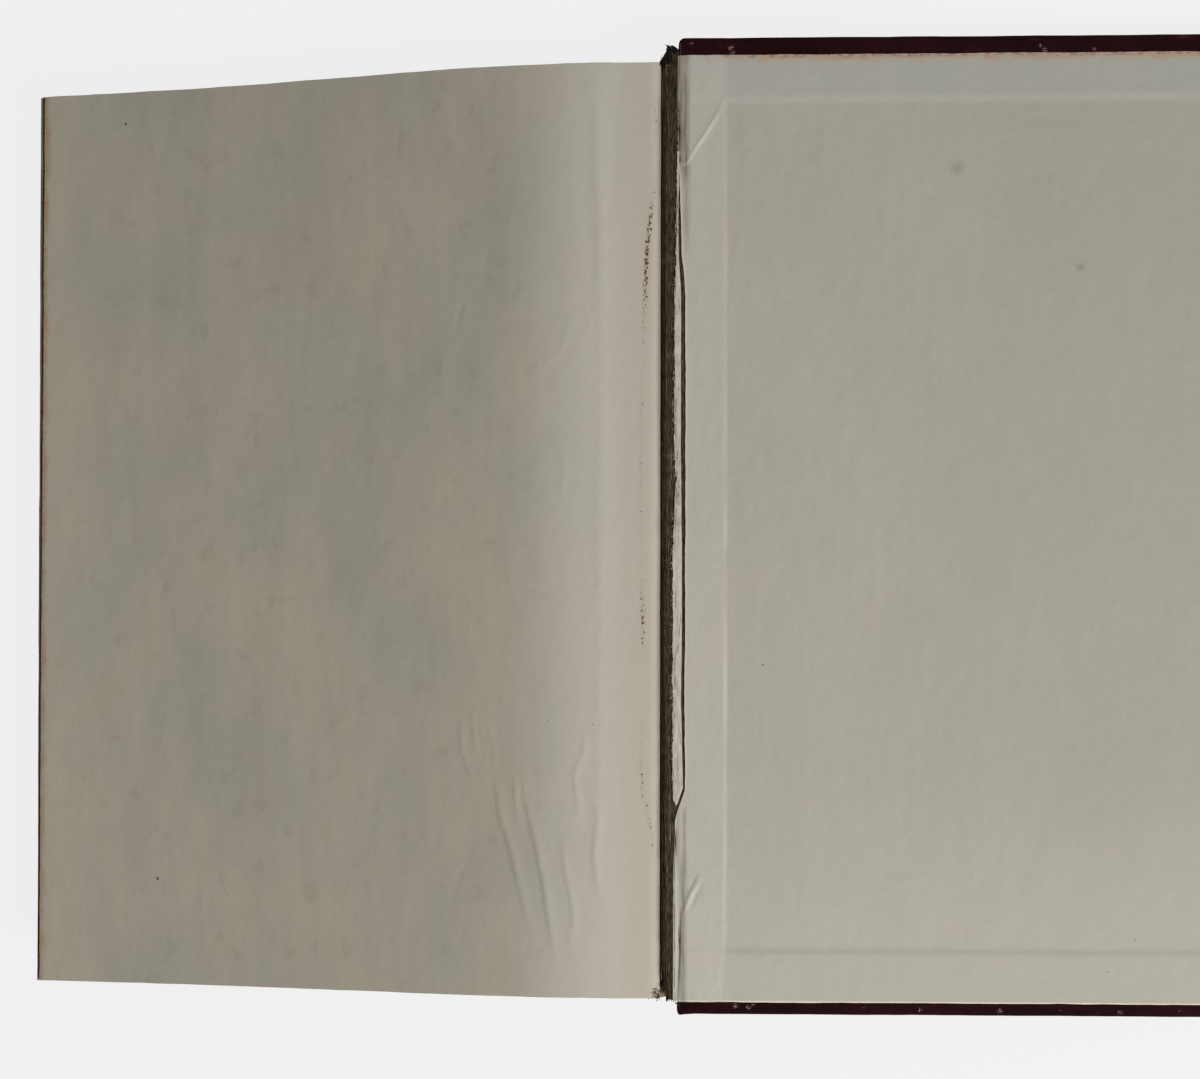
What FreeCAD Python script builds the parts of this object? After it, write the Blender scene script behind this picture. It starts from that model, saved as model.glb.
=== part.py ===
"""An old cloth-bound book lying open at its back endpapers, in millimetres.

The text block lies on the closed front cover. The back cover is hinged at the upper edge of the
spine and slopes down to the right until its fore edge touches the table. X runs from the fore edge
of the pages to the fore edge of the open cover, Y from tail to head, Z up from the table.
"""
import FreeCAD, Part
import math
import os

V = FreeCAD.Vector

# Pages and endpapers
page_height = 240.0
page_width = 169.6
block_thickness = 17.0  # pages at the spine, without the two flyleaves
leaf_thickness = 0.25
leaf_short_head = 1.1  # how far the open flyleaf stops short of the pages, at the head
leaf_short_tail = 0.6  # and at the tail
fore_edge_hollow = 2.2  # the rounded back draws the fore edge in by this
spine_bulge = 3.2  # the rounded back stands out by this

# The upper pages swell: share of the page width from the spine, and rise over the spine edge
page_swell = (
    (0.0, 0.0),
    (0.083, 1.75),
    (0.26, 3.4),
    (0.50, 2.3),
    (0.74, 1.35),
    (1.0, 1.9),
)

# Case: boards, cloth, and the card in the spine
board_thickness = 2.6
cloth_thickness = 0.4
board_corner = 1.2  # radius of a board's corners
edge_round = 0.5  # how the cloth rounds over a board's edges
head_square = 4.7  # what the cover stands out past the pages
tail_square = 3.2
fore_square = 3.8
turn_in = 16.0  # cloth folded round onto the inside of a cover
mitre_slit = 0.15  # seam between two turn-ins at a corner
mitre_share = 0.9  # how much of a corner's diagonal the seam runs over
inlay_thickness = 0.7
inlay_share = 0.94  # how much of the back's height the card covers

# Spine linings
mull_thickness = 0.3
mull_flange = 10.7  # what is glued down on a board
mull_margin = 0.5  # from a turn-in to the end of the mull
lining_thickness = 0.2
glue_film = 0.08  # glue between the mull and the lining
lining_short = 8.0  # the lining paper stops short of the pages at head and tail
lining_share = 0.92  # and covers this much of the rounded back
spine_hollow = 0.6  # free space between the lining and the card

# Joints of the case
joint_out = 1.8  # the folds of the two joints lie this far past the spine edge of the pages
board_set = 3.4  # from a fold to the edge of its board
back_joint_rise = 3.2  # from the upper spine edge of the pages to the fold of the back cover
fold_gap = 0.3  # from a fold to the strips on the cover's side
fold_clear = 0.9  # from a fold to the strips on the spine's side
worn_head = 1.6  # cloth frayed away from the head of both joints
worn_tail = 3.4  # and from their tail
lost_tail = 3.6  # cloth and card broken off the tail of the spine

# The cracked inner joint of the back cover
flap_reach = 0.7  # the endpaper still laps this far over the board's edge at head and tail
crack_edge = 1.2  # in the crack, its torn edge lies this far inside the board's edge
crack_head = 94.0  # the crack's ends, from the middle of the pages
crack_tail = -71.0
crack_runout = 3.0  # length over which the tear turns in at either end
strip_inner = 0.4  # inner edge of the torn strip, inside the board's edge

# Outer edge of the torn strip: share of its length from the head, and reach from its inner edge
torn_reach = (
    (0.0, 0.15),
    (0.14, 0.8),
    (0.34, 1.5),
    (0.46, 1.8),
    (0.50, 1.2),
    (0.56, 2.0),
    (0.64, 2.5),
    (0.90, 2.4),
    (1.0, 0.3),
)

# How far a cutting shape stands past what it cuts
past = 1.0

# Derived places. u runs out from a fold across its cover, v up from the board's inner face.
half_page = page_height / 2
cover_tail = -half_page - tail_square
cover_head = half_page + head_square
cover_outer = joint_out + page_width + fore_square
board_outer = cover_outer - cloth_thickness
cover_low = -board_thickness - cloth_thickness
paste_outer = joint_out + page_width
inside_tail = cover_tail + turn_in
inside_head = cover_head - turn_in
inside_outer = cover_outer - turn_in
mull_edge = board_set + mull_flange
cover_depth = board_thickness + cloth_thickness
endpaper_level = cover_depth + cloth_thickness + leaf_thickness
block_low = endpaper_level + leaf_thickness
block_high = block_low + block_thickness
back_fold = V(joint_out, 0, block_high + back_joint_rise)
front_fold = V(joint_out, 0, cover_depth)

# Rounded back of the pages: one circle, and the layers outside it
half_block = block_thickness / 2
spine_radius = (half_block**2 + spine_bulge**2) / (2 * spine_bulge)
spine_centre = V(spine_bulge - spine_radius, 0, block_low + half_block)
mull_radius = spine_radius + mull_thickness
lining_inner = mull_radius + glue_film
lining_radius = lining_inner + lining_thickness
inlay_radius = lining_radius + spine_hollow
inlay_outer = inlay_radius + inlay_thickness
case_radius = inlay_outer + cloth_thickness
spine_angle = math.asin(half_block / spine_radius)
lining_angle = spine_angle * lining_share
inlay_angle = math.asin(half_block / case_radius) * inlay_share

# The back cover slopes until the rounded edge of its cloth touches the table
reach = cover_outer - edge_round
drop = back_fold.z - edge_round
depth = cover_depth - edge_round
back_slope = math.asin(drop / math.hypot(reach, depth)) - math.atan2(depth, reach)

# The origin is the middle of the whole outline, on the table
left_end = -page_width - fore_square
right_end = (
    back_fold.x
    + reach * math.cos(back_slope)
    + (cloth_thickness - edge_round) * math.sin(back_slope)
    + edge_round
)
to_origin = V(-(left_end + right_end) / 2, -(cover_head + cover_tail) / 2, 0)


def box(u0, u1, y0, y1, v0, v1):
    """A plain box between two values along each axis."""
    return Part.makeBox(u1 - u0, y1 - y0, v1 - v0, V(u0, y0, v0))


def prism(wire_edges, y0, y1):
    """A section drawn in the XZ plane, drawn out along Y."""
    face = Part.Face(Part.Wire(wire_edges))
    face.translate(V(0, y0, 0))
    return face.extrude(V(0, y1 - y0, 0))


def outline(points, v0, v1):
    """A flat outline of (u, y) points with a thickness."""
    loop = [V(u, y, v0) for u, y in points]
    wire = Part.makePolygon(loop + loop[:1])
    return Part.Face(wire).extrude(V(0, 0, v1 - v0))


def on_spine(radius, angle):
    """The point of the rounded back at a radius and an angle above its middle."""
    return spine_centre + V(radius * math.cos(angle), 0, radius * math.sin(angle))


def spine_ring(inner, outer, low, high, y0, y1):
    """A layer of the rounded back between two radii and two angles."""
    middle = (low + high) / 2
    a, b, c = (on_spine(inner, angle) for angle in (low, middle, high))
    d, e, f = (on_spine(outer, angle) for angle in (low, middle, high))
    edges = [
        Part.Arc(a, b, c).toShape(),
        Part.LineSegment(c, f).toShape(),
        Part.Arc(f, e, d).toShape(),
        Part.LineSegment(d, a).toShape(),
    ]
    return prism(edges, y0, y1)


def quad(points, y0, y1):
    """A four-sided section drawn out along Y."""
    loop = [V(x, 0, z) for x, z in points]
    return prism(Part.makePolygon(loop + loop[:1]).Edges, y0, y1)


def swell_curve(height):
    """The curve of the upper pages, with its spine end at a height."""
    points = [V(-share * page_width, 0, height + rise) for share, rise in page_swell]
    curve = Part.BSplineCurve()
    curve.interpolate(points)
    return curve.toShape(), points[0], points[-1]


def text_block():
    top, spine_top, fore_top = swell_curve(block_high)
    spine_low = V(0, 0, block_low)
    fore_low = V(-page_width, 0, block_low)
    hollow = V(-page_width + fore_edge_hollow, 0, (fore_low.z + fore_top.z) / 2)
    edges = [
        top,
        Part.Arc(fore_top, hollow, fore_low).toShape(),
        Part.LineSegment(fore_low, spine_low).toShape(),
        Part.Arc(spine_low, on_spine(spine_radius, 0), spine_top).toShape(),
    ]
    return prism(edges, -half_page, half_page)


def back_flyleaf():
    """The open leaf on the pages: it follows their swell, and its fore edge is cut askew."""
    under, spine_under, fore_under = swell_curve(block_high)
    over, spine_over, fore_over = swell_curve(block_high + leaf_thickness)
    edges = [
        under,
        Part.LineSegment(fore_under, fore_over).toShape(),
        over,
        Part.LineSegment(spine_over, spine_under).toShape(),
    ]
    leaf = prism(edges, -half_page, half_page)
    fore = -page_width - past
    trim = [
        (fore, -half_page - past),
        (-page_width + leaf_short_tail, -half_page - past),
        (-page_width + leaf_short_head, half_page + past),
        (fore, half_page + past),
    ]
    return leaf.cut(outline(trim, block_high - past, block_high + spine_radius))


def front_flyleaf():
    return box(-page_width, 0, -half_page, half_page, endpaper_level, block_low)


def spine_mull():
    """Open-weave cloth glued round the back, with a strip running to each joint."""
    y0 = inside_tail + mull_margin
    y1 = inside_head - mull_margin
    ring = spine_ring(spine_radius, mull_radius, -spine_angle, spine_angle, y0, y1)
    high_in = on_spine(spine_radius, spine_angle)
    high_out = on_spine(mull_radius, spine_angle)
    end = back_fold.z - fold_clear
    rising = [
        (high_in.x, high_in.z),
        (high_out.x, high_out.z),
        (joint_out, end),
        (joint_out - mull_thickness, end),
    ]
    low_in = on_spine(spine_radius, -spine_angle)
    low_out = on_spine(mull_radius, -spine_angle)
    tip = joint_out - fold_clear
    falling = [
        (low_out.x, low_out.z),
        (low_in.x, low_in.z),
        (tip, low_in.z + mull_thickness / 2),
        (tip, low_in.z - mull_thickness / 2),
    ]
    return ring.fuse([quad(rising, y0, y1), quad(falling, y0, y1)]).removeSplitter()


def spine_lining():
    y0 = -half_page + lining_short
    y1 = half_page - lining_short
    return spine_ring(lining_inner, lining_radius, -lining_angle, lining_angle, y0, y1)


def spine_inlay():
    y0 = cover_tail + lost_tail
    y1 = cover_head - cloth_thickness
    return spine_ring(inlay_radius, inlay_outer, -inlay_angle, inlay_angle, y0, y1)


def spine_cloth():
    """Cloth over the card, turned in round its head, with a strip to each joint; its tail is lost."""
    turned = inlay_radius - cloth_thickness
    span = (-inlay_angle, inlay_angle)
    pieces = [
        spine_ring(inlay_outer, case_radius, *span, cover_tail + lost_tail, cover_head),
        spine_ring(turned, inlay_outer, *span, cover_head - cloth_thickness, cover_head),
        spine_ring(turned, inlay_radius, *span, inside_head, cover_head),
    ]
    joints = (
        (inlay_angle, joint_out, back_fold.z - fold_clear),
        (-inlay_angle, joint_out + cloth_thickness / 4, front_fold.z + fold_clear),
    )
    for angle, x_end, z_end in joints:
        inner = on_spine(inlay_outer, angle)
        outer = on_spine(case_radius, angle)
        strip = [
            (inner.x, inner.z),
            (outer.x, outer.z),
            (x_end + cloth_thickness, z_end),
            (x_end, z_end),
        ]
        pieces.append(quad(strip, cover_tail + lost_tail, cover_head - worn_head))
    return pieces[0].fuse(pieces[1:]).removeSplitter()


def slab(u0, u1, y0, y1, v0, v1, corner):
    """A plate with rounded corners."""
    plate = box(u0, u1, y0, y1, v0, v1)
    upright = [e for e in plate.Edges if abs(e.tangentAt(e.FirstParameter).z) > 0.9]
    return plate.makeFillet(corner, upright)


def board():
    return slab(
        board_set,
        board_outer,
        cover_tail + cloth_thickness,
        cover_head - cloth_thickness,
        -board_thickness,
        0,
        board_corner,
    )


def cover_cloth():
    """Cloth round a board: outer face, edges, turn-ins with mitred corners, and the joint strip."""
    wrap = slab(
        board_set - cloth_thickness,
        cover_outer,
        cover_tail,
        cover_head,
        cover_low,
        cloth_thickness,
        board_corner + cloth_thickness,
    )
    rims = [e for e in wrap.Edges if e.BoundBox.ZLength < 0.01]
    wrap = wrap.makeFillet(edge_round, rims)
    opening = box(0, inside_outer, inside_tail, inside_head, 0, cover_depth)
    worn = (cover_tail + worn_tail, cover_head - worn_head)
    strip = box(fold_gap, board_set, *worn, -cloth_thickness, 0)
    lap_tail = box(fold_gap, board_set, worn[0], inside_tail, 0, cloth_thickness)
    lap_head = box(fold_gap, board_set, inside_head, worn[1], 0, cloth_thickness)
    cloth = wrap.cut([board(), opening]).fuse([strip, lap_tail, lap_head]).removeSplitter()
    length = turn_in * math.sqrt(2) * mitre_share
    for y_corner, turn in ((cover_tail, 135), (cover_head, -135)):
        slit = box(0, length, -mitre_slit / 2, mitre_slit / 2, cloth_thickness / 2, cover_depth)
        slit.translate(V(board_corner, 0, 0))
        slit.rotate(V(0, 0, 0), V(0, 0, 1), turn)
        slit.translate(V(cover_outer, y_corner, 0))
        cloth = cloth.cut(slit)
    return cloth


def mull_on_board():
    y0 = inside_tail + mull_margin
    y1 = inside_head - mull_margin
    return box(fold_gap, mull_edge, y0, y1, 0, mull_thickness)


def pastedown(spine_edge):
    """Endpaper laid over the board, the turn-ins and the mull, whose edges show through it."""
    top = cloth_thickness + leaf_thickness
    sheet = box(spine_edge, paste_outer, -half_page, half_page, 0, top)
    over_turn_ins = box(0, cover_outer, cover_tail, cover_head, 0, cloth_thickness).cut(
        box(-past, inside_outer, inside_tail, inside_head, -past, top)
    )
    over_mull = box(0, mull_edge, inside_tail, inside_head, 0, mull_thickness)
    field = box(
        mull_edge + leaf_thickness,
        inside_outer - leaf_thickness,
        inside_tail + leaf_thickness,
        inside_head - leaf_thickness,
        leaf_thickness,
        top,
    )
    mull_field = box(
        0,
        mull_edge + leaf_thickness,
        inside_tail + leaf_thickness,
        inside_head - leaf_thickness,
        mull_thickness + leaf_thickness,
        top + mull_thickness,
    )
    return sheet.cut([over_turn_ins, over_mull, field, mull_field])


def back_pastedown():
    """The endpaper is torn along the inner joint, apart from its head and tail."""
    sheet = pastedown(board_set - flap_reach)
    torn = board_set + crack_edge
    tear = [
        (0, crack_head),
        (board_set - flap_reach, crack_head),
        (torn, crack_head - crack_runout),
        (torn, crack_tail + crack_runout),
        (board_set - flap_reach, crack_tail),
        (0, crack_tail),
    ]
    return sheet.cut(outline(tear, -past, cover_depth))


def torn_strip():
    """The ragged strip of endpaper left on the mull, along the crack."""
    inner = board_set + strip_inner
    head = crack_head - crack_runout / 2
    length = head - (crack_tail + crack_runout / 2)
    ragged = [(inner - width, head - share * length) for share, width in torn_reach]
    straight = [(inner, head - length), (inner, head)]
    low = mull_thickness
    return outline(ragged + straight, low, low + leaf_thickness)


def open_back(shape):
    """Put a piece of the back cover in its open place."""
    shape.rotate(V(0, 0, 0), V(0, 1, 0), math.degrees(back_slope))
    shape.translate(back_fold)
    return shape


def closed_front(shape):
    """Put a piece of the front cover under the pages."""
    shape = shape.mirror(V(0, 0, 0), V(1, 0, 0))
    shape.translate(front_fold)
    return shape


nodes = {
    "text_block": text_block(),
    "back_flyleaf": back_flyleaf(),
    "front_flyleaf": front_flyleaf(),
    "spine_mull": spine_mull(),
    "spine_lining": spine_lining(),
    "spine_inlay": spine_inlay(),
    "spine_cloth": spine_cloth(),
    "back_board": open_back(board()),
    "back_cover_cloth": open_back(cover_cloth()),
    "back_pastedown": open_back(back_pastedown()),
    "back_mull_flange": open_back(mull_on_board()),
    "torn_hinge_strip": open_back(torn_strip()),
    "front_board": closed_front(board()),
    "front_cover_cloth": closed_front(cover_cloth()),
    "front_pastedown": closed_front(pastedown(fold_gap)),
    "front_mull_flange": closed_front(mull_on_board()),
}

os.makedirs("parts", exist_ok=True)
for name, shape in nodes.items():
    shape.translate(to_origin)
    shape.exportStep(f"parts/{name}.step")
    print(name, len(shape.Solids), round(shape.Volume, 1), shape.isValid())

print("back fold", back_fold + to_origin, "slope", math.degrees(back_slope))
print("front fold", front_fold + to_origin)
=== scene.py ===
"""The looks of an old open book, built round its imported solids.

Lengths are in millimetres until the last step of each mesh. On the pages, x runs from the spine
edge of the leaves (0) to their fore edge (negative), y from tail to head and z up from the table.
On a cover, u runs out from its fold and v up from the inner face of its board.
"""

import bmesh
import bpy
import math
import numpy as np
from mathutils import Matrix, Vector


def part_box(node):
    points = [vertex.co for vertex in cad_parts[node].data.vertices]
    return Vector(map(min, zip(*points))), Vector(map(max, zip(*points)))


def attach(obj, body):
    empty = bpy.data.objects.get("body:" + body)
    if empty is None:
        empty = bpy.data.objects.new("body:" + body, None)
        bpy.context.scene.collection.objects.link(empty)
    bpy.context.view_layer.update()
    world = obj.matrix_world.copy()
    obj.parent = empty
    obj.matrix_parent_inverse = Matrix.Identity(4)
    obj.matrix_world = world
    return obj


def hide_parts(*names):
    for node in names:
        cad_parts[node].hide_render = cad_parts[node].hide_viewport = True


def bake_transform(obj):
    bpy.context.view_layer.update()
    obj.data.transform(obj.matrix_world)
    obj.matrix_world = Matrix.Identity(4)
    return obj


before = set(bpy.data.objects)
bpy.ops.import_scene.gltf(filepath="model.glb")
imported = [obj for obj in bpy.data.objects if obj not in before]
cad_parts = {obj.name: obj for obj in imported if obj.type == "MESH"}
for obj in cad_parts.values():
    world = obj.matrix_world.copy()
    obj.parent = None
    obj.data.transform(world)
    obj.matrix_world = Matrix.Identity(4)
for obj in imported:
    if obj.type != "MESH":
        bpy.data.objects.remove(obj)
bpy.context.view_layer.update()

MM = 0.001
leaf_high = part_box("back_flyleaf")[1]
block_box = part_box("text_block")
SPINE_X = leaf_high.x / MM
MIDDLE_Y = (block_box[0].y + block_box[1].y) / 2 / MM

# Sizes of the solids that the pieces follow
HALF_PAGE = 120.0
PAGE_WIDTH = 169.6
BLOCK_LOW = 3.9
BLOCK_THICK = 17.0
BLOCK_HIGH = BLOCK_LOW + BLOCK_THICK
LEAF_THICK = 0.25
LEAF_SHORT_HEAD = 1.1
LEAF_SHORT_TAIL = 0.6
PAGE_SWELL = ((0.0, 0.0), (0.083, 1.75), (0.26, 3.4), (0.50, 2.3), (0.74, 1.35), (1.0, 1.9))
FORE_HOLLOW = 2.2
SPINE_BULGE = 3.2
SPINE_RADIUS = ((BLOCK_THICK / 2) ** 2 + SPINE_BULGE**2) / (2 * SPINE_BULGE)
SPINE_CENTRE = (SPINE_BULGE - SPINE_RADIUS, BLOCK_LOW + BLOCK_THICK / 2)
SPINE_ANGLE = math.asin(BLOCK_THICK / 2 / SPINE_RADIUS)
MULL_THICK = 0.3
CLOTH_THICK = 0.4
CARD_RADIUS = SPINE_RADIUS + 1.88  # outer face of the card in the spine
CARD_THICK = 0.7
CARD_ANGLE = math.asin(BLOCK_THICK / 2 / (CARD_RADIUS + CLOTH_THICK)) * 0.94
BACK_SLOPE = math.radians(6.943)
FOLD_X = 1.8
BACK_FOLD_Z = 24.1
FRONT_FOLD_Z = 3.0
BOARD_EDGE = 3.4
BOARD_THICK = 2.6
COVER_OUTER = 175.2
COVER_TAIL = -123.2
COVER_HEAD = 124.7
TURN_IN_U = 159.2
TURN_IN_TAIL = -107.2
TURN_IN_HEAD = 108.7
MULL_EDGE = 14.1
PASTE_OUTER = FOLD_X + PAGE_WIDTH
BACK_JOINT = ("book_block", "back_cover")
FRONT_JOINT = ("book_block", "front_cover")


# Numbers and noise
def smooth(t):
    t = np.clip(t, 0, 1)
    return t * t * (3 - 2 * t)


def noise(x, y, seed):
    """Smooth random values from -1 to 1 over a plane."""
    size = 256
    table = np.random.default_rng(seed).uniform(-1, 1, (size, size))
    x, y = np.broadcast_arrays(np.asarray(x, float), np.asarray(y, float))
    i, j = np.floor(x).astype(int), np.floor(y).astype(int)
    s, t = smooth(x - i), smooth(y - j)
    i0, i1, j0, j1 = i % size, (i + 1) % size, j % size, (j + 1) % size
    low = table[i0, j0] * (1 - s) + table[i1, j0] * s
    high = table[i0, j1] * (1 - s) + table[i1, j1] * s
    return low * (1 - t) + high * t


def layered(x, y, seed, octaves=3):
    """Noise with finer noise added at half the strength, and so on."""
    total = sum(noise(x * 2**k, y * 2**k, seed + k) / 2**k for k in range(octaves))
    return total / (2 - 2.0 ** (1 - octaves))


def ridge(x, y, line, width, height):
    """A soft ridge along a line of points, lower at its ends."""
    line = np.array(line, float)
    steps = np.diff(line, axis=0)
    lengths = np.hypot(steps[:, 0], steps[:, 1])
    best = np.full(np.shape(x), 1e9)
    along = np.zeros(np.shape(x))
    start = 0.0
    for a, d, length in zip(line[:-1], steps, lengths):
        t = np.clip(((x - a[0]) * d[0] + (y - a[1]) * d[1]) / length**2, 0, 1)
        gap = np.hypot(x - a[0] - t * d[0], y - a[1] - t * d[1])
        near = gap < best
        best = np.where(near, gap, best)
        along = np.where(near, (start + t * length) / lengths.sum(), along)
        start += length
    taper = np.sin(math.pi * np.clip(along, 0.01, 0.99)) ** 0.6
    return height * np.exp(-((best / width) ** 2)) * taper


def fold(x, y, line, width, height):
    """A wrinkle: a crest with a sharper hollow on the side away from the gutter."""
    line = np.array(line, float)
    beside = line + np.array([0.95 * width, 0.0])
    return ridge(x, y, line, 1.25 * width, 1.15 * height) + ridge(x, y, beside, 0.6 * width, -0.35 * height)


def spline(points):
    """A natural cubic through (x, y) points, as a function."""
    xs, ys = (np.array(c, float) for c in zip(*points))
    n = len(xs)
    h = np.diff(xs)
    a = np.eye(n)
    b = np.zeros(n)
    for k in range(1, n - 1):
        a[k, k - 1 : k + 2] = h[k - 1], 2 * (h[k - 1] + h[k]), h[k]
        b[k] = 6 * ((ys[k + 1] - ys[k]) / h[k] - (ys[k] - ys[k - 1]) / h[k - 1])
    m = np.linalg.solve(a, b)

    def value(x):
        x = np.clip(x, xs[0], xs[-1])
        k = np.clip(np.searchsorted(xs, x) - 1, 0, n - 2)
        left, right = xs[k + 1] - x, x - xs[k]
        curve = (m[k] * left**3 + m[k + 1] * right**3) / (6 * h[k])
        line = (ys[k] / h[k] - m[k] * h[k] / 6) * left
        return curve + line + (ys[k + 1] / h[k] - m[k + 1] * h[k] / 6) * right

    return value


swell = spline([(share * PAGE_WIDTH, rise) for share, rise in PAGE_SWELL])


# Places
def on_block(x, y, z):
    x, y, z = np.broadcast_arrays(x, y, z)
    return np.stack([x + SPINE_X, y + MIDDLE_Y, z], -1)


def back_point(u, v):
    """A place on the back cover as x and z."""
    c, s = math.cos(BACK_SLOPE), math.sin(BACK_SLOPE)
    return FOLD_X + u * c + v * s, BACK_FOLD_Z - u * s + v * c


def on_back(u, y, v):
    x, z = back_point(u, v)
    return on_block(x, y, z)


def on_front(u, y, v):
    return on_block(FOLD_X - u, y, FRONT_FOLD_Z + v)


# Meshes
def boundary(rows, cols):
    """The outline of a grid as indices, once round."""
    grid = np.arange(rows * cols).reshape(rows, cols)
    sides = (grid[0, :-1], grid[:-1, -1], grid[-1, :0:-1], grid[:0:-1, 0])
    return np.concatenate(sides)


def grid_faces(rows, cols):
    grid = np.arange(rows * cols).reshape(rows, cols)
    corners = (grid[:-1, :-1], grid[:-1, 1:], grid[1:, 1:], grid[1:, :-1])
    return np.stack([c.ravel() for c in corners], -1)


def sheet(upper, lower, local):
    """A closed sheet between two grids of points, with each point's place on the piece."""
    rows, cols = upper.shape[:2]
    count = rows * cols
    faces = grid_faces(rows, cols)
    rim = boundary(rows, cols)
    after = np.roll(rim, -1)
    sides = np.stack([rim, rim + count, after + count, after], -1)
    verts = np.concatenate([upper.reshape(-1, 3), lower.reshape(-1, 3)])
    local = local.reshape(-1, 3)
    return verts, np.concatenate([faces, faces[:, ::-1] + count, sides]), np.concatenate([local, local])


def flat(across, up):
    """Places on a flat piece, as its material reads them."""
    return np.stack([across, up, 0 * across], -1)


def tube(path, radius, local=None, sides=5):
    """A thread along a path, thinner at its ends."""
    path = np.asarray(path, float)
    tangent = np.gradient(path, axis=0)
    tangent /= np.linalg.norm(tangent, axis=1)[:, None]
    spare = np.eye(3)[np.argmin(np.abs(tangent).mean(0))]
    across = np.cross(tangent, spare)
    across /= np.linalg.norm(across, axis=1)[:, None]
    over = np.cross(tangent, across)
    angle = np.arange(sides) * 2 * math.pi / sides
    width = radius * np.ones(len(path))
    width[0] = width[-1] = radius * 0.35
    ring = across[:, None] * np.cos(angle)[:, None] + over[:, None] * np.sin(angle)[:, None]
    verts = (path[:, None] + ring * width[:, None, None]).reshape(-1, 3)
    a = np.arange((len(path) - 1) * sides).reshape(-1, sides)
    b = np.roll(a, -1, axis=1)
    faces = np.stack([a, b, b + sides, a + sides], -1).reshape(-1, 4).tolist()
    last = (len(path) - 1) * sides
    faces += [list(range(sides))[::-1], list(range(last, last + sides))]
    place = np.repeat(path if local is None else local, sides, axis=0)
    return verts, faces, place


def chip(centre, size, seed):
    """A small irregular crumb."""
    rng = np.random.default_rng(seed)
    points = rng.normal(0, 1, (14, 3))
    points /= np.linalg.norm(points, axis=1)[:, None]
    points *= rng.uniform(0.55, 1, (14, 1)) * np.array(size)
    lump = bmesh.new()
    for p in points:
        lump.verts.new(p)
    bmesh.ops.convex_hull(lump, input=lump.verts)
    loose = [v for v in lump.verts if not v.link_faces]
    bmesh.ops.delete(lump, geom=loose, context="VERTS")
    lump.verts.index_update()
    verts = np.array([v.co for v in lump.verts]) + np.array(centre)
    faces = [[v.index for v in f.verts] for f in lump.faces]
    lump.free()
    return verts, faces, verts.copy()


def piece(name, parts, body, material, replaces=(), sharp=40, marks=None):
    """One object from mesh parts: it rides on a body given by name; given a pair of bodies, it is left
    unattached where it is made.
    """
    verts, faces, places = [], [], []
    count = 0
    for v, f, p in parts:
        verts.append(v)
        faces += [[int(i) + count for i in face] for face in f]
        places.append(p)
        count += len(v)
    verts, places = np.concatenate(verts), np.concatenate(places)
    mesh = bpy.data.meshes.new(name)
    mesh.from_pydata((verts * MM).tolist(), [], faces)
    attribute = mesh.attributes.new("place", "FLOAT_VECTOR", "POINT")
    attribute.data.foreach_set("vector", places.astype(np.float32).ravel())
    for key, function in (marks or {}).items():
        values = function(places[:, 0], places[:, 1]).astype(np.float32)
        mesh.attributes.new(key, "FLOAT", "POINT").data.foreach_set("value", values)
    tidy = bmesh.new()
    tidy.from_mesh(mesh)
    bmesh.ops.recalc_face_normals(tidy, faces=tidy.faces)
    tidy.to_mesh(mesh)
    tidy.free()
    mesh.polygons.foreach_set("use_smooth", np.ones(len(mesh.polygons), bool))
    mesh.set_sharp_from_angle(angle=math.radians(sharp))
    mesh.materials.append(material)
    made = bpy.data.objects.new(name, mesh)
    bpy.context.scene.collection.objects.link(made)
    if isinstance(body, str):
        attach(made, body)
    else:
        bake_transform(made)
    if replaces:
        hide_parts(*replaces)
    return made


# Material nodes
def colour(r, g, b):
    """A colour written as on a screen, 0 to 255."""
    parts = [c / 255 for c in (r, g, b)]
    linear = [c / 12.92 if c <= 0.04045 else ((c + 0.055) / 1.055) ** 2.4 for c in parts]
    return (*linear, 1.0)


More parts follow.
